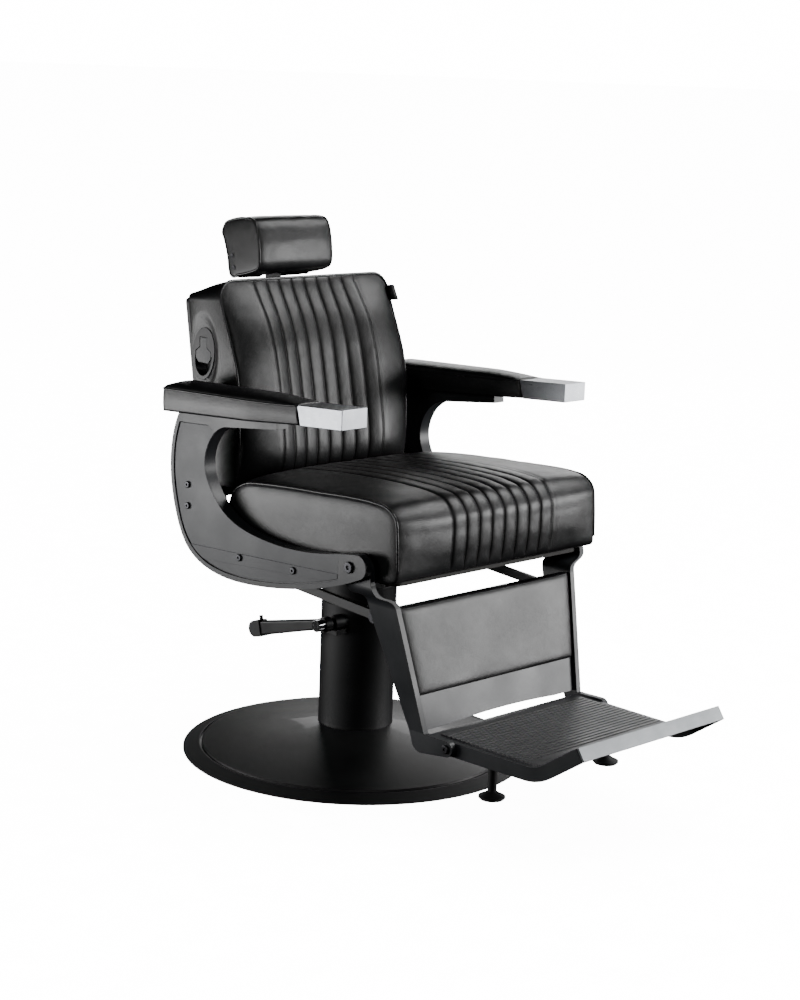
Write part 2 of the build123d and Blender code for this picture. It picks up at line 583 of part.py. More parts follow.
# ---------------------------------------------------------------- backrest
def back_parts():
    depth = shell_y(BACK_FOOT_Z) - BACK_SHELL_T
    front = [(104, BACK_FOOT_Z), (92, 575), (81, 620), (84, 670), (98, 747), (122, 830), (141, 874),
             (168, 920)]
    top_rear_z = 912.0
    body = outline(
        Spline(*front),
        Spline(front[-1], (196, 947), (240, 941), (shell_y(top_rear_z) - BACK_SHELL_T, top_rear_z + 10)),
        Line((shell_y(top_rear_z) - BACK_SHELL_T, top_rear_z + 10),
             (shell_y(top_rear_z) - BACK_SHELL_T, top_rear_z)),
        Line((shell_y(top_rear_z) - BACK_SHELL_T, top_rear_z), (depth, BACK_FOOT_Z)),
        Line((depth, BACK_FOOT_Z), front[0]))
    wide = fillet(Rectangle(BACK_W, 430).vertices().group_by(Axis.Y)[-1], BACK_CORNER_R)
    wide = Pos(0, 950 - 215) * wide
    cushion = plate_x(body, -BACK_X, BACK_X) & plate_y(wide, 60, 320)

    # the ribbed middle lies back between the two side bolsters
    sections = []
    for z, bolster_y, hollow in ((540, 108, 10), (575, 92, 16), (620, 81, 21), (670, 84, 22), (747, 98, 21),
                                 (830, 122, 19), (874, 141, 17), (918, 167, 13), (960, 200, 11)):
        front_line = ThreePointArc((-BOLSTER_X, bolster_y), (0, bolster_y + hollow), (BOLSTER_X, bolster_y))
        sections.append(Plane.XY.offset(z) * outline(
            front_line, Line((BOLSTER_X, bolster_y), (BOLSTER_X, bolster_y - 60)),
            Line((BOLSTER_X, bolster_y - 60), (-BOLSTER_X, bolster_y - 60)),
            Line((-BOLSTER_X, bolster_y - 60), (-BOLSTER_X, bolster_y))))
    cushion -= loft(sections, ruled=True)

    shell_side = polygon(
        (shell_y(BACK_FOOT_Z) - BACK_SHELL_T, BACK_FOOT_Z), (shell_y(BACK_FOOT_Z), BACK_FOOT_Z),
        (shell_y(905), 905), (shell_y(908) - BACK_SHELL_T, 912))
    shell = plate_x(shell_side, -BACK_X + 3, BACK_X - 3)
    shell &= plate_y(Pos(0, 912 - 215) * fillet(
        Rectangle(BACK_W - 6, 430).vertices().group_by(Axis.Y)[-1], SHELL_CORNER_R), 200, 320)

    board_side = polygon(
        (shell_y(BACK_FOOT_Z) - BACK_SHELL_T - BOARD_T, BACK_FOOT_Z),
        (shell_y(BACK_FOOT_Z) - BACK_SHELL_T, BACK_FOOT_Z), (shell_y(890) - BACK_SHELL_T, 890),
        (shell_y(890) - BACK_SHELL_T - BOARD_T, 890))
    board = plate_x(board_side, -BACK_X + 30, BACK_X - 30) - shell
    cushion -= shell

    # socket for the headrest stem: a rectangular tube, open upwards
    sock_w, sock_t, wall = STEM_W + 2 * RUN, STEM_T + 2 * RUN, 3.0
    sock_len = STEM_IN + 12
    lean = Rot(-BACK_LEAN, 0, 0)
    top = Pos(0, STEM_FOOT[0], STEM_FOOT[1]) * lean
    outer = top * Pos(0, 0, -sock_len / 2 - 8) * Box(sock_w + 2 * wall, sock_t + 2 * wall, sock_len)
    bore = top * Pos(0, 0, -sock_len / 2 - 4) * Box(sock_w, sock_t, sock_len + 8)
    socket = outer - bore
    collar = top * Pos(0, 0, -20) * Box(sock_w + 22, sock_t + 14, 6)
    room = top * Pos(0, 0, 20) * Box(sock_w + 22, sock_t + 14, 86)
    cushion -= room
    cushion -= outer + bore
    cushion -= board
    cushion -= collar
    socket = socket + (collar - bore)
    board -= outer + bore
    shell -= outer + bore

    by, bz = BEZEL
    rim = Rot(0, 0, 8) * Ellipse(BEZEL_W / 2, BEZEL_H / 2)
    well = Rot(0, 0, 8) * Ellipse(BEZEL_W / 2 - 8, BEZEL_H / 2 - 16)
    cup = extrude(Plane.YZ.offset(-BACK_X - 2) * Pos(by, bz) * rim, BEZEL_DEPTH + 2)
    hollow = extrude(Plane.YZ.offset(-BACK_X - 3) * Pos(by, bz - 8) * well, BEZEL_DEPTH)
    hollow &= box(-BACK_X - 3, 0, by - BEZEL_W, by + BEZEL_W, bz - BEZEL_H, PADDLE_FOOT + 14)
    cushion -= cup
    bezel = cup - hollow
    shell -= cup
    board -= cup
    slot = paddle_outline(1.0)
    bezel -= plate_x(slot, -BACK_X - 3, -BACK_X + PADDLE_T + 0.7)

    hinge_y, hinge_z = BACK_PIVOT
    bar_y, bar_z = 190.0, BACK_FOOT_Z - 17
    bar = rod_x(12, bar_y, bar_z, -HINGE_OUT, HINGE_OUT)
    for side in (-1, 1):
        x0, x1 = sorted((side * HINGE_IN, side * HINGE_OUT))
        bar += plate_x(hull(Pos(hinge_y, hinge_z) * Circle(20), Pos(bar_y, bar_z) * Circle(16)), x0, x1)
        bar -= rod_x(PIVOT_PIN_R + RUN, hinge_y, hinge_z, x0 - 1, x1 + 1)
        bar += box(side * 120 - 20, side * 120 + 20, bar_y - 4, bar_y + 8, bar_z, BACK_FOOT_Z)
        bar += box(side * 120 - 20, side * 120 + 20, bar_y - 4, depth, BACK_FOOT_Z - 6, BACK_FOOT_Z)

    def crank(x0, x1):
        arm = hull(Pos(*CRANK_PIN) * Circle(12), Pos(bar_y, bar_z) * Circle(16))
        return plate_x(arm, x0, x1) - rod_x(12, bar_y, bar_z, x0 - 1, x1 + 1)

    outer_x = LINK_X + LINK_T + SIDE_GAP
    inner_x = LINK_X - SIDE_GAP - CRANK_T
    cranks = []
    for side, reach in ((-1, inner_x), (1, LOCK_X - 6 - SIDE_GAP)):
        fork = rod_x(LINK_PIN_R, *CRANK_PIN, side * reach, side * (outer_x + CRANK_T))
        for x in (inner_x, outer_x):
            x0, x1 = sorted((side * x, side * (x + CRANK_T)))
            fork += crank(x0, x1)
        cranks.append(fork)
    return {
        "back_cushion": cushion, "back_board": board, "back_shell": shell,
        "headrest_socket": socket, "recline_bezel": bezel, "back_hinge_bar": bar,
        "back_cranks": Compound(cranks)}


def paddle_outline(grow):
    """Stem and wide lower end of the recline paddle, grown by a clearance."""
    y = BEZEL[0] + 1
    stem = PADDLE_STEM_W / 2 + grow
    wide = PADDLE_W / 2 + grow
    return polygon((y - stem, PADDLE_TOP + grow), (y + stem, PADDLE_TOP + grow),
                   (y + stem, PADDLE_SHOULDER + grow), (y + wide, PADDLE_SHOULDER - 8 + grow),
                   (y + wide, PADDLE_FOOT + 8), (y + wide - 8, PADDLE_FOOT - grow),
                   (y - wide + 8, PADDLE_FOOT - grow), (y - wide, PADDLE_FOOT + 8),
                   (y - wide, PADDLE_SHOULDER - 8 + grow), (y - stem, PADDLE_SHOULDER + grow))


def paddle_part():
    return {"recline_paddle": plate_x(paddle_outline(0), -BACK_X - 1.5, -BACK_X - 1.5 + PADDLE_T)}


# ---------------------------------------------------------------- headrest
def head_parts():
    lean = Rot(-BACK_LEAN, 0, 0)
    foot = Pos(0, STEM_FOOT[0], STEM_FOOT[1]) * lean
    pivot = foot * Pos(0, 0, HEAD_PIVOT_UP)
    py, pz = pivot.position.Y, pivot.position.Z
    length = STEM_IN + HEAD_PIVOT_UP
    stem = foot * Pos(0, 0, HEAD_PIVOT_UP - length / 2) * Box(STEM_W, STEM_T, length)
    stem += rod_x(9, py, pz, -STEM_W / 2, STEM_W / 2)
    stem -= rod_x(5, py, pz, -STEM_W, STEM_W)
    half = HEAD_W / 2
    pin = rod_x(5 - RUN, py, pz, -STEM_W / 2 - 5.5, STEM_W / 2 + 5.5)

    plates = []
    for side in (-1, 1):
        x0, x1 = sorted((side * (STEM_W / 2 + 0.5), side * (STEM_W / 2 + 5.5)))
        cheek = box(x0, x1, py - 26, py + 12, pz - 14, pz + 34)
        plates.append(cheek)
    bridge = box(-STEM_W / 2 - 5.5, STEM_W / 2 + 5.5, py - 32, py - 26, pz - 14, pz + 34)
    bracket = bridge + plates[0] + plates[1] + pin

    side = outline(
        Spline((232, 1050), (220, 1004), (221, 972), (238, 959)),
        Line((238, 959), (284, 947)),
        Line((284, 947), (302, 947)),
        Spline((302, 947), (315, 988), (331, 1030), (322, 1050)),
        Spline((322, 1050), (300, 1061), (262, 1063), (232, 1050)))
    cushion = plate_x(side, -half, half)
    reach = 60.0
    open_front = tan(radians(40)) * reach
    cavity = plate_x(polygon((py - 28, pz + 36), (py + 14, pz + 36), (py + 20, pz - reach),
                             (py - open_front - 6, pz - reach)),
                     -STEM_W / 2 - 6.5, STEM_W / 2 + 6.5)
    plate_room = box(-STEM_W / 2 - 6, STEM_W / 2 + 6, py - 32.5, py - 25, pz - 15, pz + 35)
    cushion = cushion - cavity - plate_room
    return {"headrest_stem": stem, "headrest_bracket": bracket, "headrest_cushion": cushion}


# ---------------------------------------------------------------- footrest
def leg_strip():
    """Front view of the left leg as (x, z): upright, joggled inward, then converging."""
    top_in = FRAME_IN
    knee_x, knee_z = LEG_KNEE
    foot_x, foot_z = LEG_FOOT
    slope = Vector(foot_x - knee_x, foot_z - knee_z).normalized()

    def face_edges(shift):
        return [Line((top_in + shift, 520), (top_in + shift, JOGGLE_TOP)),
                Spline((top_in + shift, JOGGLE_TOP), (knee_x + shift, knee_z),
                       tangents=[(0, -1), (slope.X, slope.Y)]),
                Line((knee_x + shift, knee_z), (foot_x + shift, foot_z)),
                Line((foot_x + shift, foot_z), (foot_x + shift, 120))]

    inner = face_edges(0)
    outer = face_edges(LEG_T)
    caps = [Line((foot_x, 120), (foot_x + LEG_T, 120)), Line((top_in + LEG_T, 520), (top_in, 520))]
    return make_face(Wire(inner + outer + caps))


def leg_side():
    hinge_y, hinge_z = FOOTPLATE_HINGE
    toe = 15.0
    return outline(
        Line((-408, FOOTPLATE_TOP + 3), (-352, 404)), Line((-352, 404), (-331, 450)),
        Line((-331, 450), (-329, 478)),
        ThreePointArc((-329, 478), (-318, 496), (-296, 502)),
        Line((-296, 502), (-264, 494)), Line((-264, 494), (-260, 462)),
        Line((-260, 462), (-286, 376)), Line((-286, 376), (-377, 159)),
        ThreePointArc((-377, 159), (-385, 144), (-400, 138)),
        Line((-400, 138), (hinge_y, hinge_z - toe)),
        ThreePointArc((hinge_y, hinge_z - toe), (hinge_y - toe, hinge_z), (hinge_y, hinge_z + toe)),
        Line((hinge_y, hinge_z + toe), (-408, FOOTPLATE_TOP + 3)))


def calf_line(z, back):
    """y of a line parallel to the legs' front edge, set back from it."""
    return -352.0 + (404.0 - z) * (-408.0 + 352.0) / (404.0 - 175.0) + back


def footrest_parts():
    strip = leg_strip()
    leg = plate_x(leg_side(), 0, FRAME_OUT) & plate_y(strip, -500, -250)
    leg -= rod_x(8 + RUN, *LEG_PIVOT, FRAME_IN - 1, FRAME_IN + LEG_T + 1)
    hinge_y, hinge_z = FOOTPLATE_HINGE
    leg -= rod_x(5, hinge_y, hinge_z, LEG_FOOT[0] - 1, LEG_FOOT[0] + LEG_T + 1)

    slope = (LEG_KNEE[0] - LEG_FOOT[0]) / (LEG_KNEE[1] - LEG_FOOT[1])

    def between_legs(z0, z1, front, back, gap=0.4):
        x0 = LEG_FOOT[0] + (z0 - LEG_FOOT[1]) * slope - gap
        x1 = LEG_FOOT[0] + (z1 - LEG_FOOT[1]) * slope - gap
        side = polygon((calf_line(z0, front), z0), (calf_line(z1, front), z1),
                       (calf_line(z1, back), z1), (calf_line(z0, back), z0))
        width = polygon((-x0, z0), (x0, z0), (x1, z1), (-x1, z1))
        return plate_x(side, -SEAT_X, SEAT_X) & plate_y(width, -450, -250)

    board = between_legs(182, 401, 16, 24)
    kick = between_legs(178, KICK_TOP, 8, 16)
    arch_x = LEG_FOOT[0] - 60.0
    arch = plate_y(outline(Line((-arch_x, 170), (arch_x, 170)),
                           Line((arch_x, 170), (arch_x, 178)),
                           ThreePointArc((arch_x, 178), (0, 183), (-arch_x, 178)),
                           Line((-arch_x, 178), (-arch_x, 170))), -450, -250)
    kick -= arch
    board -= Pos(0, 0, 4) * arch
    panel = board + kick
    pad = between_legs(KICK_TOP + 1, 402, 1, 16)

    both = leg + mirrored(leg)
    rods = []
    for z in (384, 214):
        half = LEG_FOOT[0] + (z + 8 - LEG_FOOT[1]) * slope + 4
        rods += (rod_x(7, calf_line(z, 33), z, -half, half) - both).solids()
    pin_y, pin_z = LINK_PIN
    tube_in = LINK_X - 3.0
    pins = []
    leg_x = LEG_FOOT[0] + (pin_z - LEG_FOOT[1]) * slope
    for side in (-1, 1):
        boss = rod_x(11, pin_y, pin_z, side * (LINK_X + LINK_T + 0.5), side * (leg_x + 4)) - both
        pin = rod_x(LINK_PIN_R, pin_y, pin_z, side * tube_in, side * (leg_x + LEG_T - 3))
        pins.append(pin + boss)
    leg -= pins[1]
    hinge_bolts = []
    for side in (-1, 1):
        face = side * (LEG_FOOT[0] + LEG_T)
        bolt = screw_x(8.5, 5, hinge_y, hinge_z, face, side, 4.5, LEG_T + 9)
        hinge_bolts.append(bolt)
    return {
        "footrest_arm_right": mirrored(leg), "footrest_arm_left": leg,
        "calf_panel": panel, "calf_pad": pad,
        "footrest_cross_rods": Compound(rods), "link_pins": Compound(pins),
        "footplate_bolts": Compound(hinge_bolts)}


def footplate_profile(low, high):
    """Side view of the footplate between two depths below its top surface."""
    rise = radians(NOSE_RISE)
    run_end = FOOTPLATE_END

    def edge(depth):
        centre_z = FOOTPLATE_TOP + NOSE_R
        r = NOSE_R + depth
        mid = rise / 2
        p0 = (FOOTPLATE_REAR, FOOTPLATE_TOP - depth)
        p1 = (FOOTPLATE_BEND, FOOTPLATE_TOP - depth)
        pm = (FOOTPLATE_BEND - r * sin(mid), centre_z - r * cos(mid))
        p2 = (FOOTPLATE_BEND - r * sin(rise), centre_z - r * cos(rise))
        top_start = FOOTPLATE_BEND - NOSE_R * sin(rise)
        length = (top_start - run_end) / cos(rise)
        p3 = (p2[0] - length * cos(rise), p2[1] + length * sin(rise))
        return p0, p1, pm, p2, p3

    a0, a1, am, a2, a3 = edge(low)
    b0, b1, bm, b2, b3 = edge(high)
    return outline(
        Line(a0, a1), ThreePointArc(a1, am, a2), Line(a2, a3), Line(a3, b3),
        Line(b3, b2), ThreePointArc(b2, bm, b1), Line(b1, b0), Line(b0, a0))


def footplate_parts():
    rear_x = LEG_FOOT[0] - FOOTPLATE_GAP

    def plan(inset):
        return polygon((-rear_x + inset, FOOTPLATE_REAR + 5), (-rear_x + inset, -490),
                       (-FOOTPLATE_NOSE_X + inset, FOOTPLATE_END - 30),
                       (FOOTPLATE_NOSE_X - inset, FOOTPLATE_END - 30),
                       (rear_x - inset, -490), (rear_x - inset, FOOTPLATE_REAR + 5))

    tray = plate_x(footplate_profile(0, FLANGE_D), -SEAT_X, SEAT_X) & plate_z(plan(0), 100, 300)
    hollow = plate_x(footplate_profile(PLATE_T, FLANGE_D + 1), -SEAT_X, SEAT_X)
    hollow &= plate_z(plan(PLATE_T), 100, 300)
    tray -= hollow
    hinge_y, hinge_z = FOOTPLATE_HINGE
    for side in (-1, 1):
        tray += rod_x(10, hinge_y, hinge_z - 2, side * (rear_x - 12), side * rear_x) & box(
            -rear_x, rear_x, -500, -400, 140, FOOTPLATE_TOP)
        tray -= rod_x(5 + RUN, hinge_y, hinge_z, side * (rear_x - 13), side * (rear_x + 1))

    rise = radians(NOSE_RISE)
    lip = extrude(
        Plane(origin=(0, FOOTPLATE_END, tray_end_z()), x_dir=(1, 0, 0),
              z_dir=(0, -cos(rise), sin(rise)))
        * Pos(0, -FLANGE_D / 2) * Rectangle(2 * FOOTPLATE_NOSE_X, FLANGE_D), LIP_T)
    lip = chamfer(lip.edges(), 0.7)

    mat_half = FOOTPLATE_NOSE_X - 8
    mat_face = footplate_profile(-2.0, 0) & polygon((-425, 100), (-425, 300), (-738, 300), (-738, 100))
    mat = plate_x(mat_face, -mat_half, mat_half)
    count = int((FOOTPLATE_REAR - 25 - FOOTPLATE_BEND) / RIB_PITCH)
    for k in range(count):
        y = FOOTPLATE_REAR - 30 - RIB_PITCH * k
        mat += box(-mat_half, mat_half, y - 5, y, FOOTPLATE_TOP + 1.5, FOOTPLATE_TOP + 3.5)

    feet = []
    for x in (-STOP_X, STOP_X):
        stem = rod_z(8.5, x, STOP_Y, STOP_Z + 8, FOOTPLATE_TOP - PLATE_T)
        pad = revolve(Plane.XZ * outline(
            Line((0, STOP_Z), (STOP_R - 3, STOP_Z)), Line((STOP_R - 3, STOP_Z), (STOP_R, STOP_Z + 3)),
            Line((STOP_R, STOP_Z + 3), (STOP_R, STOP_Z + 6)),
            ThreePointArc((STOP_R, STOP_Z + 6), (16, STOP_Z + 10.5), (8, STOP_Z + 16)),
            Line((8, STOP_Z + 16), (0, STOP_Z + 16)), Line((0, STOP_Z + 16), (0, STOP_Z))), Axis.Z)
        feet.append(stem + Pos(x, STOP_Y, 0) * pad)
    return {"footplate": tray, "footplate_lip": lip, "footplate_mat": mat,
            "stop_feet": Compound(feet)}


def tray_end_z():
    rise = radians(NOSE_RISE)
    start = FOOTPLATE_BEND - NOSE_R * sin(rise)
    return FOOTPLATE_TOP + NOSE_R * (1 - cos(rise)) + (start - FOOTPLATE_END) * tan(rise)


# ---------------------------------------------------------------- links and recline lock
def link_parts():
    slot_z = CRANK_DIP + 2.5
    y0, z0 = LINK_PIN
    y1, z1 = CRANK_PIN
    half = LINK_H / 2
    run = sqrt((y1 - y0)**2 + (z1 - z0)**2)
    ux, uz = (y1 - y0) / run, (z1 - z0) / run
    bar = hull(Pos(y0, z0) * Circle(half), Pos(y1 - 18 * ux, z1 - 18 * uz) * Circle(half))
    eye = Pos(y1, z1) * fillet(Rectangle(38, 38).vertices(), 12)
    hole = Pos(y1, z1) * SlotCenterToCenter(2 * slot_z, 2 * (LINK_PIN_R + SLOT_PLAY), rotation=90)
    blade = plate_x(bar, LINK_X, LINK_X + LINK_T) + plate_x(eye, LINK_X, LINK_X + LINK_T)
    blade -= plate_x(hole, LINK_X - 1, LINK_X + LINK_T + 1)
    blade -= rod_x(LINK_PIN_R + RUN, y0, z0, LINK_X - 1, LINK_X + LINK_T + 1)

    lock_z = z1 - CRANK_DIP / 2
    body_y0, body_y1 = -70.0, 72.0
    cyl = rod_y(LOCK_R, LOCK_X, lock_z, body_y0, body_y1)
    cyl -= rod_y(LOCK_ROD_R + RUN, LOCK_X, lock_z, body_y0 + 8, body_y1 + 1)
    cyl += box(LOCK_X - 15, LOCK_X + 15, 31, 59, lock_z - 15, TUBE_Z) - rod_y(LOCK_R, LOCK_X, lock_z, 0, 90)
    rod = rod_y(LOCK_ROD_R, LOCK_X, lock_z, 8, y1 - 12)
    eye_x0, eye_x1 = LOCK_X - 6, LOCK_X + 6
    end = plate_x(Pos(y1, lock_z) * fillet(Rectangle(30, 32).vertices(), 9), eye_x0, eye_x1)
    slot = SlotCenterToCenter(2 * (CRANK_DIP / 2 + 1), 2 * (LINK_PIN_R + SLOT_PLAY), rotation=90)
    rod = rod + end - plate_x(Pos(y1, lock_z) * slot, eye_x0 - 1, eye_x1 + 1)
    return {"link_bars": Compound([mirrored(blade), blade]), "lock_cylinder": cyl, "lock_rod": rod}


def build():
    nodes = {}
    nodes.update(base_parts())
    nodes.update(pedal_parts())
    nodes.update(lift_parts())
    nodes.update(seat_frame_parts())
    nodes.update(side_parts())
    nodes.update(back_parts())
    nodes.update(paddle_part())
    nodes.update(head_parts())
    nodes.update(footrest_parts())
    nodes.update(footplate_parts())
    nodes.update(link_parts())
    return nodes


def main():
    os.makedirs("parts", exist_ok=True)
    for name, shape in build().items():
        export_step(shape, "parts/" + name + ".step")


main()
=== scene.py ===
"""Looks of the hydraulic barber chair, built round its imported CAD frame. Metres; the chair faces -Y."""
from math import cos, pi, radians, sin, sqrt, tan

import bmesh
import bpy
import numpy as np
from mathutils import Matrix, Vector, noise


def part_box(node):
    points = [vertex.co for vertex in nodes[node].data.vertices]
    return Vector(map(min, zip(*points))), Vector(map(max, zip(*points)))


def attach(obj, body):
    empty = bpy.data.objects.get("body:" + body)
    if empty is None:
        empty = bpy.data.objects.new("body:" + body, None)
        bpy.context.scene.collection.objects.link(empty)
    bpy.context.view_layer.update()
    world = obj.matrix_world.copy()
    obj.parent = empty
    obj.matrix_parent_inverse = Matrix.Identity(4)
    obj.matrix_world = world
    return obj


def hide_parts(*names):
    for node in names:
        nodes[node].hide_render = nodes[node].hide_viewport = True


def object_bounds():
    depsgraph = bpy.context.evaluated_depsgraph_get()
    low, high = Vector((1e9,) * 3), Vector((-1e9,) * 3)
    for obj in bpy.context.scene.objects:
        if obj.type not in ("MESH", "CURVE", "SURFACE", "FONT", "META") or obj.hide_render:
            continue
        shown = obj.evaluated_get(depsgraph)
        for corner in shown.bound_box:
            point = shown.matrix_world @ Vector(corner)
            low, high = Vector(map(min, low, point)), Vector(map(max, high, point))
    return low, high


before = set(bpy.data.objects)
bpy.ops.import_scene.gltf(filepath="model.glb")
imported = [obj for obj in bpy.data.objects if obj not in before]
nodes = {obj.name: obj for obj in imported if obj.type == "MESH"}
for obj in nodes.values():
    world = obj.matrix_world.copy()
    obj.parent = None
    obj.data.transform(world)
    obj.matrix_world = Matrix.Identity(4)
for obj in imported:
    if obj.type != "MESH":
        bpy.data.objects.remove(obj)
cad_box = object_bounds()
MM = 0.001

# ---------------------------------------------------------------- sizes of the upholstery, in mm
PIPING_R = 2.7
RIB_HALF = 137.0          # ribs cover this much each side of the middle
RIBS = 8
RIB_DEPTH = 3.8
STITCH_PITCH = 5.4
STITCH_OFF = 3.4          # stitch row from the middle of its seam
SEAT_SIDE_BULGE = 6.0
HEAD_SIDE_BULGE = 2.0
HEAD_PIPING_R = 2.8
HEAD_OPENING_H = 22.0     # opening under the headrest for its stem and bracket
HEAD_OPENING_DEPTH = 66.0
SNAP_R = 5.2
BACK_CORNER = 36.0        # corner of the back's front bead
REAR_CORNER = 12.0        # corner where the back's boxing meets the rear shell
BACK_SIDE_BULGE = 5.0
SHELL_LEAN = tan(radians(9.46))
SHELL_T = 12.2            # rear shell with the gap in front of it
BEZEL_HOLD = 6.5          # width of the bezel that lies on the leather
ARM_RISE = tan(radians(3.3))
ARM_CORNER = 18.0
ARM_TAPER_Y = -40.0       # the pad narrows towards its tip from here on
ARM_END_SLANT = 8.0       # the pad's front end leans back this much over its height
ARM_PIPING_R = 1.9
LEG_NARROWING = (237.5 - 210.6) / (402.0 - 176.0)   # the legs come closer downwards
LEG_SLOPE = (408.0 - 352.0) / (404.0 - 175.0)       # and further forward downwards
CALF_PAD_T = 14.9


# ---------------------------------------------------------------- curves and grids
def corner(node):
    """Front, lower corner of a node as (y, z) in mm, and its half width in x."""
    lo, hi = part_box(node)
    return np.array([lo.y, lo.z]) / MM, (hi.x - lo.x) / 2 / MM


def catmull(points, step, closed=False):
    """Smooth curve through points (any dimension), sampled about every step of the first two columns."""
    p = np.asarray(points, float)
    n = len(p)
    if closed:
        ext = np.vstack([p[-1], p, p[0], p[1]])
        spans = n
    else:
        ext = np.vstack([2 * p[0] - p[1], p, 2 * p[-1] - p[-2]])
        spans = n - 1
    out = []
    for i in range(spans):
        p0, p1, p2, p3 = ext[i:i + 4]
        d = [max(np.linalg.norm((b - a)[:2]), 1e-6) ** 0.5 for a, b in ((p0, p1), (p1, p2), (p2, p3))]
        t1, t2, t3 = d[0], d[0] + d[1], d[0] + d[1] + d[2]
        count = max(int(np.linalg.norm((p2 - p1)[:2]) / step), 1)
        for t in t1 + (t2 - t1) * np.arange(count) / count:
            a1 = (t1 - t) / t1 * p0 + t / t1 * p1
            a2 = (t2 - t) / (t2 - t1) * p1 + (t - t1) / (t2 - t1) * p2
            a3 = (t3 - t) / (t3 - t2) * p2 + (t - t2) / (t3 - t2) * p3
            b1 = (t2 - t) / t2 * a1 + t / t2 * a2
            b2 = (t3 - t) / (t3 - t1) * a2 + (t - t1) / (t3 - t1) * a3
            out.append((t2 - t) / (t2 - t1) * b1 + (t - t1) / (t2 - t1) * b2)
    if not closed:
        out.append(p[-1])
    return np.array(out)


def columns(half):
    """x stations across a ribbed cushion: fine at the edges and over each rib, with one on every seam."""
    edge = half - (half - RIB_HALF) * (1 - np.cos(np.linspace(0, pi / 2, 20)[:-1]))
    pitch = 2 * RIB_HALF / RIBS
    ribs = []
    for k in range(RIBS):
        t = np.linspace(-1, 1, 13)[:-1]
        ribs += list(-RIB_HALF + pitch * (k + 0.5) + pitch / 2 * np.sin(t * pi / 2))
    left = -np.array(edge)
    return np.concatenate([left, ribs, [RIB_HALF], np.array(edge)[::-1]])


def across(x, half, power=3.4, root=0.5):
    """Crown of a cushion across its width: 0 at the piping, 1 in the middle."""
    return (1 - np.minimum(np.abs(x) / half, 1) ** power) ** root


def rib_drop(x):
    """How far the surface lies below the crown because of the sewn channels."""
    x = np.asarray(x, float)
    t = (((x + RIB_HALF) / (2 * RIB_HALF / RIBS)) % 1) * 2 - 1
    inside = 1 - np.sqrt(1 - 0.97 * np.abs(t) ** 2.6)
    outside = 0.83 * np.exp(-(np.abs(x) - RIB_HALF) / 5.0)
    return RIB_DEPTH * np.where(np.abs(x) <= RIB_HALF + 1e-6, inside, outside)


def build(name, grids, body, node, material):
    """One smooth closed mesh from point grids in mm that share their borders."""
    verts, faces = [], []
    for grid, wrap in grids:
        n, m = grid.shape[:2]
        start = len(verts)
        verts += [tuple(p) for p in grid.reshape(-1, 3) * MM]
        for i in range(n if wrap else n - 1):
            for j in range(m - 1):
                a, b = start + i * m + j, start + (i + 1) % n * m + j
                faces.append((a, b, b + 1, a + 1))
    mesh = bpy.data.meshes.new(name)
    mesh.from_pydata(verts, [], faces)
    bm = bmesh.new()
    bm.from_mesh(mesh)
    bmesh.ops.remove_doubles(bm, verts=bm.verts, dist=0.02 * MM)
    bmesh.ops.dissolve_degenerate(bm, edges=bm.edges, dist=0.01 * MM)
    bmesh.ops.recalc_face_normals(bm, faces=bm.faces)
    for face in bm.faces:
        face.smooth = True
    bm.to_mesh(mesh)
    bm.free()
    return place(bpy.data.objects.new(name, mesh), body, node, material)


def place(piece, body, node, material):
    bpy.context.scene.collection.objects.link(piece)
    piece.data.materials.append(material)
    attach(piece, body)
    if node:
        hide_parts(*([node] if isinstance(node, str) else node))
    return piece


def cap(ring, bulge, axis_sign, rings=10):
    """Rings from a closed outline at constant x to its middle, swelling outward in x."""
    middle = ring.mean(axis=0)
    out = []
    for s in np.linspace(0, 1, rings) ** 1.3:
        layer = ring + (middle - ring) * s
        layer[:, 0] = ring[:, 0] + axis_sign * bulge * sqrt(1 - (1 - min(s * 1.6, 1)) ** 2)
        out.append(layer)
    return np.array(out).transpose(1, 0, 2)


def tube(path, r, sides=10, ends=True):
    """Round cord along points in mm, as (grid, wrap) lists for build()."""
    path = np.asarray(path, float)
    along = np.gradient(path, axis=0)
    along /= np.linalg.norm(along, axis=1)[:, None]
    side = np.cross(along[0], [0.3, 0.5, 0.8])
    side /= np.linalg.norm(side)
    rows = []
    for p, t in zip(path, along):
        side = side - t * np.dot(side, t)
        side /= np.linalg.norm(side)
        other = np.cross(t, side)
        angle = np.linspace(0, 2 * pi, sides + 1)
        rows.append(p + r * (np.cos(angle)[:, None] * side + np.sin(angle)[:, None] * other))
    if ends:
        rows = [np.repeat(path[:1], sides + 1, 0)] + rows + [np.repeat(path[-1:], sides + 1, 0)]
    return [(np.array(rows), False)]


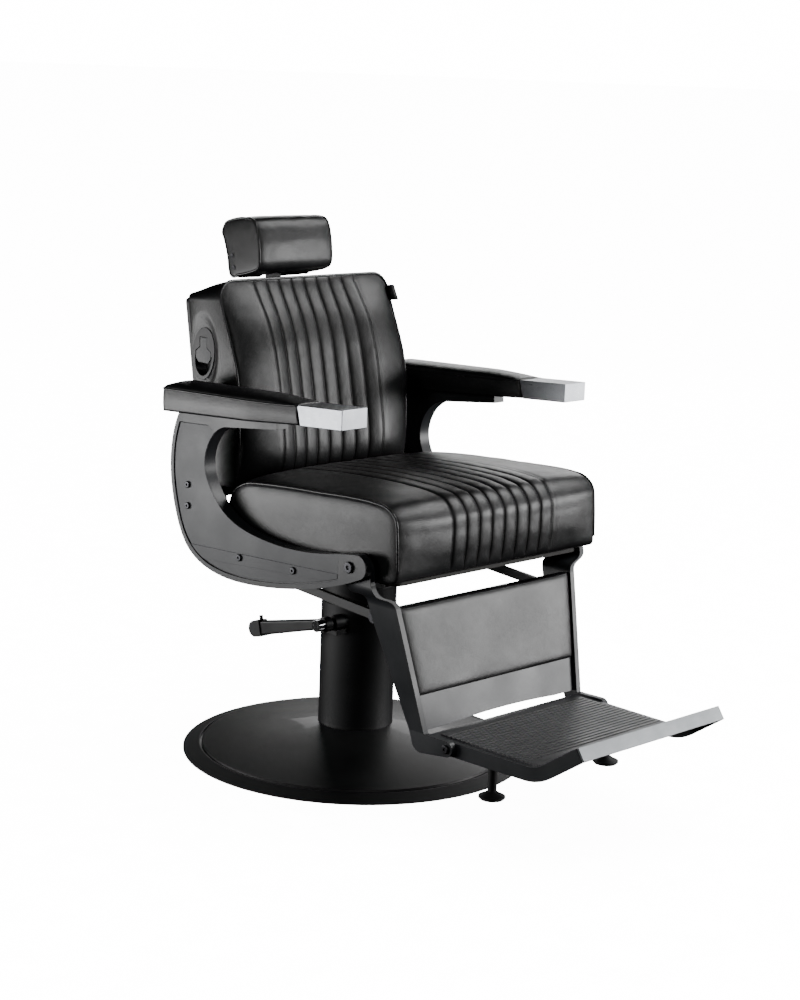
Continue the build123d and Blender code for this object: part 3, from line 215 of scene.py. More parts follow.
def stitch_rows(name, rows, body, material):
    """Thread stitches along rows of (points, normals) in mm, each a small pointed bead on the surface."""
    verts, faces = [], []
    length, r, sides = STITCH_PITCH * 0.62, 0.42, 6
    for points, normals in rows:
        gaps = np.linalg.norm(np.diff(points, axis=0), axis=1)
        run = np.concatenate([[0], np.cumsum(gaps)])
        marks = np.arange(STITCH_PITCH, run[-1] - STITCH_PITCH, STITCH_PITCH)
        spots = np.stack([np.interp(marks, run, points[:, k]) for k in range(3)], 1)
        ahead = np.stack([np.interp(marks + 1, run, points[:, k]) for k in range(3)], 1)
        ups = np.stack([np.interp(marks, run, normals[:, k]) for k in range(3)], 1)
        for p, q, up in zip(spots, ahead, ups):
            t = (q - p) / np.linalg.norm(q - p)
            up = up / np.linalg.norm(up)
            w = np.cross(t, up)
            base = len(verts)
            p = p + up * 0.12
            verts.append(p - t * length / 2)
            for s in (-0.28, 0.28):
                for k in range(sides):
                    a = 2 * pi * k / sides
                    verts.append(p + t * length * s + r * (cos(a) * w + sin(a) * up))
            verts.append(p + t * length / 2)
            for k in range(sides):
                n = (k + 1) % sides
                faces.append((base, base + 1 + n, base + 1 + k))
                faces.append((base + 1 + k, base + 1 + n, base + 1 + sides + n, base + 1 + sides + k))
                faces.append((base + 1 + sides + k, base + 1 + sides + n, base + 1 + 2 * sides))
    mesh = bpy.data.meshes.new(name)
    mesh.from_pydata([tuple(v * MM) for v in verts], [], faces)
    for face in mesh.polygons:
        face.use_smooth = True
    return place(bpy.data.objects.new(name, mesh), body, None, material)


def pucker(points, amount, size, seed):
    """Gentle unevenness of stretched leather, added along the grid's own outward direction."""
    n, m = points.shape[:2]
    out = points.copy()
    du, dv = np.gradient(points, axis=0), np.gradient(points, axis=1)
    normal = np.cross(du, dv)
    normal /= np.maximum(np.linalg.norm(normal, axis=2), 1e-9)[:, :, None]
    for i in range(n):
        for j in range(m):
            p = points[i, j]
            h = noise.noise(Vector(p / size) + Vector((seed, 0, 0))) \
                + 0.5 * noise.noise(Vector(p / size * 2.3) + Vector((0, seed, 0)))
            out[i, j] = p + normal[i, j] * h * amount
    return out


# ---------------------------------------------------------------- materials
def new_material(name):
    m = bpy.data.materials.new(name)
    m.use_nodes = True
    tree = m.node_tree
    shader = tree.nodes["Principled BSDF"]
    coords = tree.nodes.new("ShaderNodeTexCoord").outputs["Object"]
    return m, tree, shader, coords


def texture(tree, coords, kind, scale, **values):
    node = tree.nodes.new(kind)
    tree.links.new(coords, node.inputs["Vector"])
    node.inputs["Scale"].default_value = scale
    for key, value in values.items():
        if key in node.inputs:
            node.inputs[key].default_value = value
        else:
            setattr(node, key, value)
    return node


def ramp(tree, source, low, high, from_low=0.3, from_high=0.7):
    node = tree.nodes.new("ShaderNodeMapRange")
    tree.links.new(source, node.inputs["Value"])
    for key, value in (("From Min", from_low), ("From Max", from_high), ("To Min", low), ("To Max", high)):
        node.inputs[key].default_value = value
    return node.outputs["Result"]


def tint(tree, source, dark, light):
    node = tree.nodes.new("ShaderNodeValToRGB")
    tree.links.new(source, node.inputs["Fac"])
    node.color_ramp.elements[0].position, node.color_ramp.elements[1].position = 0.3, 0.7
    node.color_ramp.elements[0].color = (*dark, 1)
    node.color_ramp.elements[1].color = (*light, 1)
    return node.outputs["Color"]


def bump(tree, height, strength, distance, normal=None):
    node = tree.nodes.new("ShaderNodeBump")
    node.inputs["Strength"].default_value = strength
    node.inputs["Distance"].default_value = distance
    tree.links.new(height, node.inputs["Height"])
    if normal:
        tree.links.new(normal, node.inputs["Normal"])
    return node.outputs["Normal"]


def leather(name, dark, light, rough, grain=620.0, relief=0.35):
    m, tree, shader, coords = new_material(name)
    cells = texture(tree, coords, "ShaderNodeTexVoronoi", grain, feature="DISTANCE_TO_EDGE")
    fine = texture(tree, coords, "ShaderNodeTexNoise", grain * 1.7, Detail=4.0, Roughness=0.6)
    broad = texture(tree, coords, "ShaderNodeTexNoise", 9.0, Detail=5.0, Roughness=0.55)
    folds = texture(tree, coords, "ShaderNodeTexNoise", 46.0, Detail=3.0, Distortion=0.6)
    tree.links.new(tint(tree, broad.outputs["Fac"], dark, light), shader.inputs["Base Color"])
    tree.links.new(ramp(tree, broad.outputs["Fac"], rough - 0.05, rough + 0.06), shader.inputs["Roughness"])
    n = bump(tree, folds.outputs["Fac"], 0.35, 0.0010)
    n = bump(tree, ramp(tree, cells.outputs["Distance"], 0, 1, 0.0, 0.22), relief, 0.00022, n)
    n = bump(tree, fine.outputs["Fac"], relief, 0.00012, n)
    tree.links.new(n, shader.inputs["Normal"])
    shader.inputs["Specular IOR Level"].default_value = 0.5
    shader.inputs["Coat Weight"].default_value = 0.12
    shader.inputs["Coat Roughness"].default_value = 0.28
    return m


def coated(name, dark, light, rough, metal=0.0, grain=1500.0, relief=0.2, edge=0.0008, coat=0.0):
    """Powder coat, paint or moulded plastic with a fine orange-peel surface and softened edges."""
    m, tree, shader, coords = new_material(name)
    fine = texture(tree, coords, "ShaderNodeTexNoise", grain, Detail=3.0)
    broad = texture(tree, coords, "ShaderNodeTexNoise", 14.0, Detail=4.0)
    tree.links.new(tint(tree, broad.outputs["Fac"], dark, light), shader.inputs["Base Color"])
    tree.links.new(ramp(tree, broad.outputs["Fac"], rough - 0.04, rough + 0.05), shader.inputs["Roughness"])
    bevel = tree.nodes.new("ShaderNodeBevel")
    bevel.samples = 4
    bevel.inputs["Radius"].default_value = edge
    n = bump(tree, fine.outputs["Fac"], relief, 0.00012, bevel.outputs["Normal"])
    tree.links.new(n, shader.inputs["Normal"])
    shader.inputs["Metallic"].default_value = metal
    shader.inputs["Coat Weight"].default_value = coat
    return m


def brushed(name, dark, light, rough, stretch, edge=0.0006):
    """Metal with fine lines; stretch gives the lines' direction as a scale on each axis."""
    m, tree, shader, coords = new_material(name)
    turn = tree.nodes.new("ShaderNodeMapping")
    turn.inputs["Scale"].default_value = stretch
    tree.links.new(coords, turn.inputs["Vector"])
    lines = texture(tree, turn.outputs["Vector"], "ShaderNodeTexNoise", 900.0, Detail=4.0)
    broad = texture(tree, coords, "ShaderNodeTexNoise", 25.0, Detail=3.0)
    tree.links.new(tint(tree, broad.outputs["Fac"], dark, light), shader.inputs["Base Color"])
    tree.links.new(ramp(tree, lines.outputs["Fac"], rough - 0.06, rough + 0.08), shader.inputs["Roughness"])
    bevel = tree.nodes.new("ShaderNodeBevel")
    bevel.samples = 4
    bevel.inputs["Radius"].default_value = edge
    n = bump(tree, lines.outputs["Fac"], 0.25, 0.00005, bevel.outputs["Normal"])
    tree.links.new(n, shader.inputs["Normal"])
    shader.inputs["Metallic"].default_value = 1.0
    return m


def wood(name):
    m, tree, shader, coords = new_material(name)
    turn = tree.nodes.new("ShaderNodeMapping")
    turn.inputs["Scale"].default_value = (1.0, 0.12, 6.0)
    tree.links.new(coords, turn.inputs["Vector"])
    grain = texture(tree, turn.outputs["Vector"], "ShaderNodeTexNoise", 90.0, Detail=6.0, Distortion=1.2)
    tree.links.new(tint(tree, grain.outputs["Fac"], (0.012, 0.011, 0.010), (0.030, 0.027, 0.024)),
                   shader.inputs["Base Color"])
    tree.links.new(ramp(tree, grain.outputs["Fac"], 0.55, 0.75), shader.inputs["Roughness"])
    tree.links.new(bump(tree, grain.outputs["Fac"], 0.3, 0.0003), shader.inputs["Normal"])
    return m


LEATHER = leather("leather_black", (0.006, 0.006, 0.0065), (0.011, 0.011, 0.012), 0.36)
# piping is the cushions' leather with a lighter colour: painted sheen along the cords, besides its lower
# roughness
PIPING = leather("leather_piping_painted_sheen", (0.018, 0.018, 0.019), (0.028, 0.028, 0.030), 0.23, 900.0, 0.12)
THREAD = coated("thread_black", (0.010, 0.010, 0.011), (0.020, 0.020, 0.021), 0.60, grain=3000.0, relief=0.5)
GRAPHITE = coated("graphite_coat", (0.026, 0.028, 0.031), (0.034, 0.036, 0.040), 0.40, relief=0.3)
GRAPHITE_IN = coated("graphite_inlay", (0.036, 0.039, 0.044), (0.046, 0.049, 0.055), 0.44, relief=0.3)
BLACK_STEEL = coated("black_steel_coat", (0.007, 0.007, 0.008), (0.011, 0.011, 0.012), 0.40, relief=0.25)
# darker, rougher copy of the black steel coat for the column: its darker colour is painted shade
COLUMN_SHADED_COAT = coated("column_coat_painted_shade", (0.004, 0.004, 0.005), (0.007, 0.007, 0.008), 0.52, relief=0.25)
KICK = coated("kick_panel_coat", (0.030, 0.032, 0.036), (0.040, 0.042, 0.047), 0.36, relief=0.2)
BASE_COAT = coated("base_coat", (0.010, 0.010, 0.011), (0.016, 0.016, 0.017), 0.42, relief=0.15, coat=0.1)
RUBBER = coated("rubber_black", (0.010, 0.010, 0.011), (0.017, 0.017, 0.018), 0.55, grain=900.0, relief=0.5)
MAT = coated("tread_rubber", (0.050, 0.050, 0.054), (0.066, 0.066, 0.071), 0.38, grain=700.0, relief=0.2)
PLASTIC = coated("plastic_black", (0.010, 0.010, 0.011), (0.016, 0.016, 0.018), 0.44,
                 grain=1100.0, relief=0.4)
PADDLE = coated("plastic_paddle", (0.024, 0.025, 0.028), (0.034, 0.036, 0.040), 0.42,
                grain=1100.0, relief=0.4)
BOLT = brushed("bolt_black", (0.05, 0.05, 0.055), (0.08, 0.08, 0.085), 0.38, (1, 1, 1))
TIP = brushed("tip_satin", (0.30, 0.31, 0.33), (0.36, 0.37, 0.39), 0.33, (1, 0.06, 1))
LIP = brushed("lip_satin", (0.22, 0.23, 0.24), (0.27, 0.28, 0.29), 0.40, (0.06, 1, 1))
CHROME = brushed("chrome", (0.62, 0.62, 0.64), (0.70, 0.70, 0.72), 0.12, (1, 1, 0.2))
STEEL = brushed("machined_steel", (0.35, 0.35, 0.37), (0.45, 0.45, 0.47), 0.34, (1, 1, 0.15))
BRONZE = brushed("bronze", (0.40, 0.28, 0.13), (0.50, 0.36, 0.18), 0.40, (1, 1, 1))
PLY = wood("stained_ply")

FINISHES = {
    GRAPHITE: ["side_frame_right", "side_frame_left", "footrest_arm_right", "footrest_arm_left", "footplate"],
    GRAPHITE_IN: ["side_panel_right", "side_panel_left"],
    COLUMN_SHADED_COAT: ["column_cover", "column_sleeve"],
    BLACK_STEEL: ["pedal_bush", "pedal_lever", "seat_mount_plate",
                  "seat_rails", "seat_cross_tubes", "back_brackets", "arm_bars", "back_hinge_bar",
                  "back_cranks", "headrest_stem", "headrest_bracket", "footrest_cross_rods",
                  "link_bars", "base_plate"],
    KICK: ["calf_panel"],
    BASE_COAT: ["base_cover"],
    RUBBER: ["base_rim", "pedal_grip", "stop_feet"],
    MAT: ["footplate_mat"],
    PLASTIC: ["back_shell", "headrest_socket", "recline_bezel"],
    PADDLE: ["recline_paddle"],
    BOLT: ["base_bolts", "seat_mount_bolts", "side_screws", "footrest_pivot_pins", "link_pins",
           "footplate_bolts"],
    TIP: ["arm_tip_right", "arm_tip_left"],
    LIP: ["footplate_lip"],
    CHROME: ["pedal_shaft", "lift_piston", "lock_rod"],
    STEEL: ["pump_cylinder", "pump_plunger", "pedal_spring", "lock_cylinder"],
    BRONZE: ["pump_gland", "swivel_bearing"],
    PLY: ["seat_board", "back_board"],
}
for material, names in FINISHES.items():
    for name in names:
        mesh = nodes[name].data
        mesh.materials.clear()
        mesh.materials.append(material)


# ---------------------------------------------------------------- seat cushion
def seat():
    (front, low), half = corner("seat_cushion")
    # (bead y, bead z, crown y, crown z) round the section, from the front lower corner of the box
    section = [
        (456, 0, 458, 0), (463, 12, 463, 12), (465, 65, 466, 75), (461, 82, 460, 102), (452, 98, 448, 118),
        (435, 110, 428, 132), (411, 119, 404, 138), (371, 124, 358, 143), (291, 130, 267, 150),
        (209, 134, 186, 153), (142, 138, 126, 153), (73, 139, 54, 149), (34, 134, 18, 139),
        (13, 118, -3, 114), (7, 85, -7, 85), (4, 32, -6, 40), (4, 6, 1, 6), (11, 0, 11, 0), (236, 0, 236, 0)]
    loop = catmull(section, 4.6, closed=True)
    bead, crown = loop[:, :2] + (front, low), loop[:, 2:] + (front, low)
    along = np.roll(crown, -1, 0) - np.roll(crown, 1, 0)
    along /= np.linalg.norm(along, axis=1)[:, None]
    out = np.stack([along[:, 1], -along[:, 0]], 1)
    ribbed = np.clip((crown[:, 1] - low - 3) / 12, 0, 1) ** 2

    def surface(x):
        c = across(x, half)
        yz = bead + (crown - bead) * c - out * (rib_drop(x) * ribbed)[:, None]
        return np.column_stack([np.full(len(yz), x), yz])

    xs = columns(half)
    grid = np.stack([surface(x) for x in xs], 1)
    inner = pucker(grid, 0.7, 38.0, 3.0)
    grid[:, 3:-3] = inner[:, 3:-3]
    right, left = grid[:, 0], grid[:, -1]
    cushion = build("seat_cushion_leather", [
        (grid, True), (cap(right, SEAT_SIDE_BULGE, -1, 16), True), (cap(left, SEAT_SIDE_BULGE, 1, 16), True)],
        "seat", "seat_cushion", LEATHER)

    top = np.where((crown[:, 1] > low + 20) & (ribbed > 0.5))[0]
    for side, name in ((-1, "right"), (1, "left")):
        edge = np.column_stack([np.full(len(top), side * (half - 0.3)), bead[top]])
        nudge = np.column_stack([np.zeros(len(top)), out[top] * 1.0])
        build("seat_piping_" + name, tube(edge + nudge, PIPING_R), "seat", None, PIPING)
    rows = []
    for k in range(RIBS + 1):
        seam = -RIB_HALF + 2 * RIB_HALF / RIBS * k
        normal = np.column_stack([np.zeros(len(top)), out[top]])
        for off in (-STITCH_OFF, STITCH_OFF):
            rows.append((surface(seam + off)[top], normal))
    stitch_rows("seat_stitches", rows, "seat", THREAD)


# ---------------------------------------------------------------- back cushion
def back():
    lo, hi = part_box("back_cushion")
    low, top, half = lo.z / MM, hi.z / MM, hi.x / MM
    shell_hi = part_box("back_shell")[1]
    bezel_lo, bezel_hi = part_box("recline_bezel")
    rear_top = shell_hi.z / MM + 6.0
    foot_y = lo.y / MM + 37.5
    # height above the foot, then how far back the bead and the bolsters lie, then how much
    # further back the ribbed middle lies
    front = catmull([
        (0, 3, -14, 8), (27, 1, -31, 14), (62, -3, -40, 19), (102, -3, -38, 21), (148, -1, -30, 21),
        (199, 3, -20, 21), (246, 14, -9, 20), (282, 28, 1, 19), (326, 47, 20, 17), (370, 64, 49, 12),
        (402, 72, 72, 8)], 4.0)
    heights = front[:, 0]

    def corner_drop(x, r):
        over = max(abs(x) - (half - r), 0)
        return r - sqrt(max(r ** 2 - over ** 2, 0))

    def top_of(x):
        return top - corner_drop(x, BACK_CORNER)

    def front_y(x, z):
        bead = np.interp(z - low, heights, front[:, 1])
        crown = np.interp(z - low, heights, front[:, 2])
        hollow = np.interp(z - low, heights, front[:, 3]) * max(1 - (x / RIB_HALF) ** 2, 0)
        fade = np.sqrt(np.clip(1 - ((z - low) / (top_of(x) - low)) ** 12, 0, 1))
        drop = rib_drop(x) * np.clip((top_of(x) - z) / 10, 0, 1) ** 0.5
        return foot_y + bead + ((crown - bead) * across(x, half, 3.2) + hollow) * fade + drop

    share = np.concatenate([np.linspace(0, 0.9, 78)[:-1], 0.9 + 0.1 * np.sin(np.linspace(0, pi / 2, 16))])
    xs = columns(half)
    face = np.array([[(x, front_y(x, low + (top_of(x) - low) * s), low + (top_of(x) - low) * s)
                      for x in xs] for s in share])
    inner = pucker(face, 0.6, 42.0, 7.0)
    face[1:-3, 3:-3] = inner[1:-3, 3:-3]

    def rear_of(point):
        x, y, z = point
        z_rear = low + (z - low) * (rear_top - corner_drop(x, REAR_CORNER) - low) / (top_of(x) - low)
        y_rear = shell_hi.y / MM - (shell_hi.z / MM - z_rear) * SHELL_LEAN - SHELL_T
        return np.array([x, y_rear, z_rear])

    rear = np.array([[rear_of(p) for p in row] for row in face])
    border = np.concatenate([face[:, 0], face[-1, 1:], face[::-1, -1][1:]])
    border_rear = np.concatenate([rear[:, 0], rear[-1, 1:], rear[::-1, -1][1:]])
    steps = np.linspace(0, 1, 34)
    boxing = border[:, None] + (border_rear - border)[:, None] * steps[None, :, None]
    outward = np.zeros_like(border)
    past_corner = (np.abs(border[:, 0]) - half + BACK_CORNER) / BACK_CORNER
    outward[:, 0] = np.sign(border[:, 0]) * np.clip(past_corner, 0, 1)
    outward[:, 2] = 1 - np.abs(outward[:, 0])
    boxing += outward[:, None] * (BACK_SIDE_BULGE * np.sin(steps * pi) ** 0.8)[None, :, None]

    # pocket for the bezel of the recline paddle
    by, bz = (bezel_lo.y + bezel_hi.y) / 2 / MM, (bezel_lo.z + bezel_hi.z) / 2 / MM
    ry = (bezel_hi.y - bezel_lo.y) / 2 / MM - BEZEL_HOLD
    rz = (bezel_hi.z - bezel_lo.z) / 2 / MM - BEZEL_HOLD
    inside = ((boxing[..., 1] - by) / ry) ** 2 + ((boxing[..., 2] - bz) / rz) ** 2
    near = boxing[..., 0] < -half + 10
    away = np.clip((inside - 1.3) / 2.2, 0, 1)
    calm = -half - 0.2 + (boxing[..., 0] + half + 0.2) * away ** 2 * (3 - 2 * away)
    boxing[..., 0] = np.where(near, np.where(inside < 1, bezel_hi.x / MM + 1.5, calm), boxing[..., 0])

    bottom = np.stack([face[0], rear[0]])
    cushion = build("back_cushion_leather", [(face, False), (boxing, False), (rear, False), (bottom, False)],
                    "back", "back_cushion", LEATHER)
    out = outward.copy()
    out[:, 1] = -0.8
    build("back_piping", tube(border[::2] + out[::2] * 0.9, PIPING_R), "back", None, PIPING)
    rows = []
    zs = np.linspace(low + 4, top - 8, 90)
    for k in range(RIBS + 1):
        seam = -RIB_HALF + 2 * RIB_HALF / RIBS * k
        for off in (-STITCH_OFF, STITCH_OFF):
            x = seam + off
            points = np.array([(x, front_y(x, z), z) for z in zs])
            slope = np.gradient(points[:, 1], points[:, 2])
            rows.append((points, np.column_stack([np.zeros(len(zs)), -np.ones(len(zs)), slope])))
    stitch_rows("back_stitches", rows, "back", THREAD)

    # blank woven tab sewn into the seam on the sitter's left
    z0 = top - 54
    y0 = foot_y + 37
    outline = [(y0, z0), (y0 + 15, z0 + 30), (y0 + 26, z0 + 29), (y0 + 18, z0 - 2)]
    grid = np.array([[(half + out_x, y, z) for y, z in outline + outline[:1]]
                     for out_x in (-2.0, 4.0, 8.0, 9.0)])
    end = np.array([grid[-1], np.repeat(grid[-1][:4].mean(0)[None], 5, 0)])
    start = np.array([grid[0], np.repeat(grid[0][:4].mean(0)[None], 5, 0)])
    build("back_tab", [(grid, False), (end, False), (start, False)], "back", None, THREAD)


# ---------------------------------------------------------------- headrest
def headrest():
    (front, low), half = corner("headrest_cushion")
    # bead (y, z) and how far the crown stands off it, round the section
    section = [
        (10, 102, -4, 3), (3, 80, -6, 0), (-1, 55, -6, 0), (-2, 31, -5, -1), (2, 20, -3, -3),
        (15, 13, -1, -3), (40, 6, 0, -4), (66, 0, 0, -3), (73, -4, 1, -3), (84, -1, 3, -2),
        (95, 41, 3, -1), (106, 71, 3, 0), (112, 83, 3, 1), (109, 93, 2, 2), (102, 103, 1, 4),
        (84, 110, 0, 4), (49, 116, 0, 4), (19, 113, -2, 4)]
    section = [(y + 0.5, z + 0.5, y + dy, z + dz) for y, z, dy, dz in section]
    loop = catmull(section, 3.2, closed=True)
    bead, crown = loop[:, :2] + (front, low), loop[:, 2:] + (front, low)
    turn = np.linspace(0, pi / 2, 26)
    xs = np.concatenate([-half * np.cos(turn)[:-1], half * np.sin(turn)])
    grid = np.stack([np.column_stack([np.full(len(bead), x), bead + (crown - bead) * across(x, half, 4.0)])
                     for x in xs], 1)
    inner = pucker(grid, 0.6, 30.0, 11.0)
    grid[:, 2:-2] = inner[:, 2:-2]
    # opening underneath for the stem and its tilt bracket
    stem_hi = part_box("headrest_stem")[1]
    room = stem_hi.x / MM + 7
    y0, y1 = stem_hi.y / MM - 62, stem_hi.y / MM + 18
    x, y, z = np.moveaxis(grid, 2, 0)
    under = (np.abs(x) < room) & (z < low + HEAD_OPENING_H) & (y > y0) & (y < y1)
    grid[..., 2] = np.where(under, z + HEAD_OPENING_DEPTH, z)
    cushion = build("headrest_leather", [
        (grid, True), (cap(grid[:, 0], HEAD_SIDE_BULGE, -1, 14), True),
        (cap(grid[:, -1], HEAD_SIDE_BULGE, 1, 14), True)],
        "headrest", "headrest_cushion", LEATHER)
    for side, name in ((-1, "right"), (1, "left")):
        ring = np.column_stack([np.full(len(bead), side * (half - 0.4)), bead])
        ring = np.vstack([ring, ring[:1]])
        build("headrest_piping_" + name, tube(ring, HEAD_PIPING_R, ends=False),
              "headrest", None, PIPING)
    snaps = []
    for side in (-1, 1):
        for y, z in ((80, 39), (74, 15)):
            rows = []
            for r, h in ((SNAP_R, -1.0), (SNAP_R, 0.4), (4.6, 1.2), (3.4, 1.5), (3.0, 1.1), (1.6, 1.3),
                         (0.0, 1.4)):
                a = np.linspace(0, 2 * pi, 25)
                x = np.full(25, side * (half + HEAD_SIDE_BULGE * 0.7 + h))
                rows.append(np.column_stack([x, front + y + r * np.cos(a), low + z + r * np.sin(a)]))
            snaps.append((np.array(rows), False))
    build("headrest_snaps", snaps, "headrest", None, BOLT)


# ---------------------------------------------------------------- arm pads
def arm_pad(side, name):
    lo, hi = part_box("arm_pad_" + name)
    tip_lo, tip_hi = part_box("arm_tip_" + name)
    rear, lead = hi.y / MM, lo.y / MM
    out, inn = (max(abs(lo.x), abs(hi.x)) / MM, min(abs(lo.x), abs(hi.x)) / MM)
    tip_out = max(abs(tip_lo.x), abs(tip_hi.x)) / MM
    tip_inn = min(abs(tip_lo.x), abs(tip_hi.x)) / MM
    foot = lo.z / MM + 0.4

    def section(y):
        """Closed section across the pad: underside, outer side, crowned top, inner side."""
        back = rear - y
        inset = ARM_CORNER - sqrt(max(ARM_CORNER ** 2 - max(ARM_CORNER - back, 0) ** 2, 0))
        ahead = max(ARM_TAPER_Y - y, 0) / (ARM_TAPER_Y - lead)
        x_out = out + (tip_out - out) * ahead - inset
        x_in = inn + (tip_inn - inn) * ahead + inset
        z0 = foot + back * ARM_RISE + 2.4 * ahead + 3.0 * (inset / ARM_CORNER) ** 2
        bead = z0 + 44.0 - 7.5 * min(back / 330, 1) - 1.5 * ahead - 6.0 * (inset / ARM_CORNER) ** 2
        crown = bead + 15.0 * min(1, 0.45 + back / 60) * (1 - 0.75 * ahead ** 2)
        x = [np.linspace(x_in, x_out, 9)[:-1]]
        z = [np.full(8, z0)]
        t = np.linspace(0, 1, 11)[:-1]
        x.append(x_out + 1.6 * np.sin(t * pi))
        z.append(z0 + (bead - z0) * t)
        mid, wide = (x_out + x_in) / 2, (x_out - x_in) / 2
        a = np.linspace(0, pi, 25)[:-1]
        x.append(mid + wide * np.cos(a))
        z.append(bead + (crown - bead) * np.sin(a) ** 0.75)
        x.append(x_in - 1.6 * np.sin(t * pi))
        z.append(bead + (z0 - bead) * t)
        return np.concatenate(x), np.concatenate(z), (x_out, x_in, bead)

    stations = np.concatenate([rear - ARM_CORNER * (1 - np.cos(np.linspace(0, pi / 2, 14))),
                               np.linspace(rear - ARM_CORNER, lead, 70)[1:]])
    rings, beads = [], []
    for y in stations:
        x, z, spot = section(y)
        slant = np.zeros(len(z))
        if y < lead + 40:
            slant = (z - z.min()) / 38.0 * ARM_END_SLANT * (1 - (y - lead) / 40)
        rings.append(np.column_stack([side * x, y + slant, z]))
        beads.append((y + slant.max() * 0.8, spot))
    grid = np.array(rings)
    grid = np.concatenate([grid, grid[:, :1]], 1)
    ends = [np.array([grid[k] + (grid[k][:-1].mean(0) - grid[k]) * s for s in (0, 0.3, 0.7, 1)])
            for k in (0, -1)]
    pad = build("arm_pad_leather_" + name, [(grid, False), (ends[0], False), (ends[1], False)],
                "seat", "arm_pad_" + name, LEATHER)
    outer = [(side * (s[0] + 0.2), y, s[2]) for y, s in beads[::-1]]
    inner = [(side * (s[1] - 0.2), y, s[2]) for y, s in beads]
    build("arm_piping_" + name, tube(np.array(outer + inner), ARM_PIPING_R),
          "seat", None, PIPING)


# ---------------------------------------------------------------- calf pad
def calf():
    lo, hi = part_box("calf_pad")
    z0, z1 = lo.z / MM, hi.z / MM
    half_top = hi.x / MM
    y_top = hi.y / MM - CALF_PAD_T - 0.6        # front face at the top edge
    n, m = 60, 90

    def edge_soft(t):
        return (1 - np.abs(2 * t - 1) ** 16) ** 0.5

    us, vs = (1 - np.cos(np.linspace(0, pi, n))) / 2, (1 - np.cos(np.linspace(0, pi, m))) / 2
    front = np.zeros((n, m, 3))
    for i, u in enumerate(us):
        z = z0 + (z1 - z0) * u
        half = half_top - (z1 - z) * LEG_NARROWING - 0.3
        y_face = y_top - (z1 - z) * LEG_SLOPE
        for j, v in enumerate(vs):
            swell = edge_soft(u) * edge_soft(v)
            front[i, j] = (-half + 2 * half * v, y_face + 6.5 - 6.0 * swell, z)
    wavy = pucker(front, 0.55, 60.0, 17.0)
    front[1:-1, 1:-1] = wavy[1:-1, 1:-1]
    rear = front.copy()
    for i, u in enumerate(us):
        rear[i, :, 1] = y_top - (z1 - (z0 + (z1 - z0) * u)) * LEG_SLOPE + CALF_PAD_T
    sides = [np.stack([front[:, 0], rear[:, 0]]), np.stack([front[:, -1], rear[:, -1]]),
             np.stack([front[0], rear[0]]), np.stack([front[-1], rear[-1]])]
    pad = build("calf_pad_leather", [(front, False), (rear, False)] + [(s, False) for s in sides],
                "footrest", "calf_pad", LEATHER)


seat()
back()
headrest()
arm_pad(-1, "right")
arm_pad(1, "left")
calf()


# ---------------------------------------------------------------- room, lights and camera
def quad(name, corners, material):
    mesh = bpy.data.meshes.new(name)
    mesh.from_pydata(corners, [], [(0, 1, 2, 3)])
    piece = bpy.data.objects.new(name, mesh)
    bpy.context.scene.collection.objects.link(piece)
    piece.data.materials.append(material)
    return piece


FLOOR = coated("floor_pale", (0.86, 0.86, 0.86), (0.90, 0.90, 0.90), 0.8, relief=0.02)
FLOOR_REACH = 400.0
SKY = 16.0
FLOOR_SUN = 56.0
floor_z = cad_box[0][2] - 0.0005
FLOOR_CORNERS = ((-1, -1), (1, -1), (1, 1), (-1, 1))
floor = quad("floor", [(x * FLOOR_REACH, y * FLOOR_REACH, floor_z) for x, y in FLOOR_CORNERS], FLOOR)
# the floor and the sky are plain white; the softboxes alone draw the highlights on the chair
floor.visible_glossy = False
floor.visible_diffuse = False
world = bpy.data.worlds.new("studio")
world.use_nodes = True
world.node_tree.nodes["Background"].inputs["Color"].default_value = (1, 1, 1, 1)
world.node_tree.nodes["Background"].inputs["Strength"].default_value = SKY
world.cycles_visibility.glossy = False
world.cycles_visibility.diffuse = False
bpy.context.scene.world = world

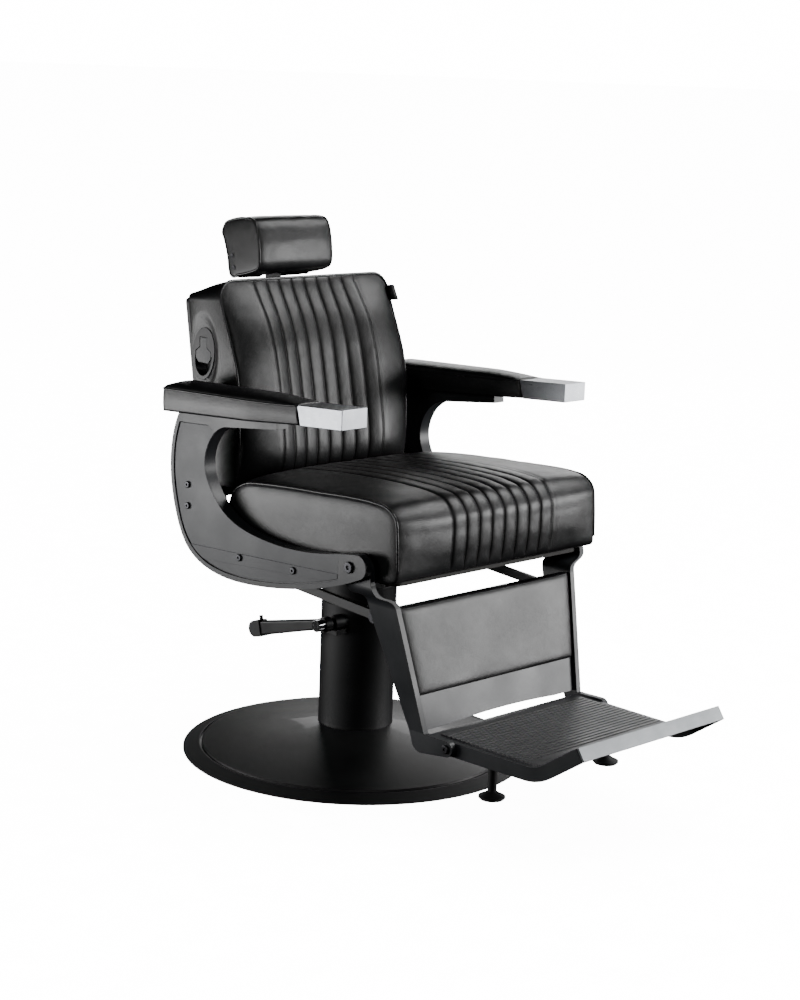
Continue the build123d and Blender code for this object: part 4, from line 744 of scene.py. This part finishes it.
floor_light = bpy.data.lights.new("floor_light", "SUN")
floor_light.energy, floor_light.angle = FLOOR_SUN, radians(75)
floor_light.use_shadow = False
floor_lamp = bpy.data.objects.new("floor_light", floor_light)
bpy.context.scene.collection.objects.link(floor_lamp)
floor_only = bpy.data.collections.new("floor_only")
floor_only.objects.link(floor)
floor_lamp.light_linking.receiver_collection = floor_only


def soft_light(name, azimuth, elevation, distance, width, height, power):
    """Softbox aimed at the chair; azimuth 0 is in front of it and grows towards +X."""
    a, e = radians(azimuth), radians(elevation)
    data = bpy.data.lights.new(name, "AREA")
    data.shape = "RECTANGLE"
    data.size, data.size_y, data.energy = width, height, power
    lamp = bpy.data.objects.new(name, data)
    aim = Vector((0, 0, 0.6))
    lamp.location = aim + distance * Vector((sin(a) * cos(e), -cos(a) * cos(e), sin(e)))
    lamp.rotation_euler = (aim - lamp.location).to_track_quat("-Z", "Y").to_euler()
    lamp.visible_camera = False
    bpy.context.scene.collection.objects.link(lamp)


soft_light("right_softbox", 43, 4, 4.0, 1.7, 1.5, 115)
soft_light("rear_left_softbox", -129, -7, 2.1, 1.4, 0.5, 22)
soft_light("left_softbox", -92, 12, 6.0, 1.2, 2.0, 30)
soft_light("high_softbox", 66, 44, 6.0, 2.2, 2.2, 150)
soft_light("rear_right_softbox", 128, 15, 6.0, 3.4, 1.4, 60)
soft_light("fill_softbox", -20, 30, 6.5, 2.4, 2.0, 25)

TARGET = Vector((0.1073, 0.0, 0.50616))
DISTANCE, AZIMUTH, ELEVATION, ROLL = 4.34545, radians(-45.4106), radians(11.4187), radians(2.1117)
away = Vector((sin(AZIMUTH) * cos(ELEVATION), -cos(AZIMUTH) * cos(ELEVATION), sin(ELEVATION)))
spot = TARGET + DISTANCE * away
lens = bpy.data.cameras.new("camera")
lens.sensor_width = 36.0
lens.lens = 76.615
camera = bpy.data.objects.new("camera", lens)
camera.matrix_world = (Matrix.Translation(spot)
                       @ (TARGET - spot).to_track_quat("-Z", "Y").to_matrix().to_4x4()
                       @ Matrix.Rotation(ROLL, 4, "Z"))
bpy.context.scene.collection.objects.link(camera)
bpy.context.scene.camera = camera
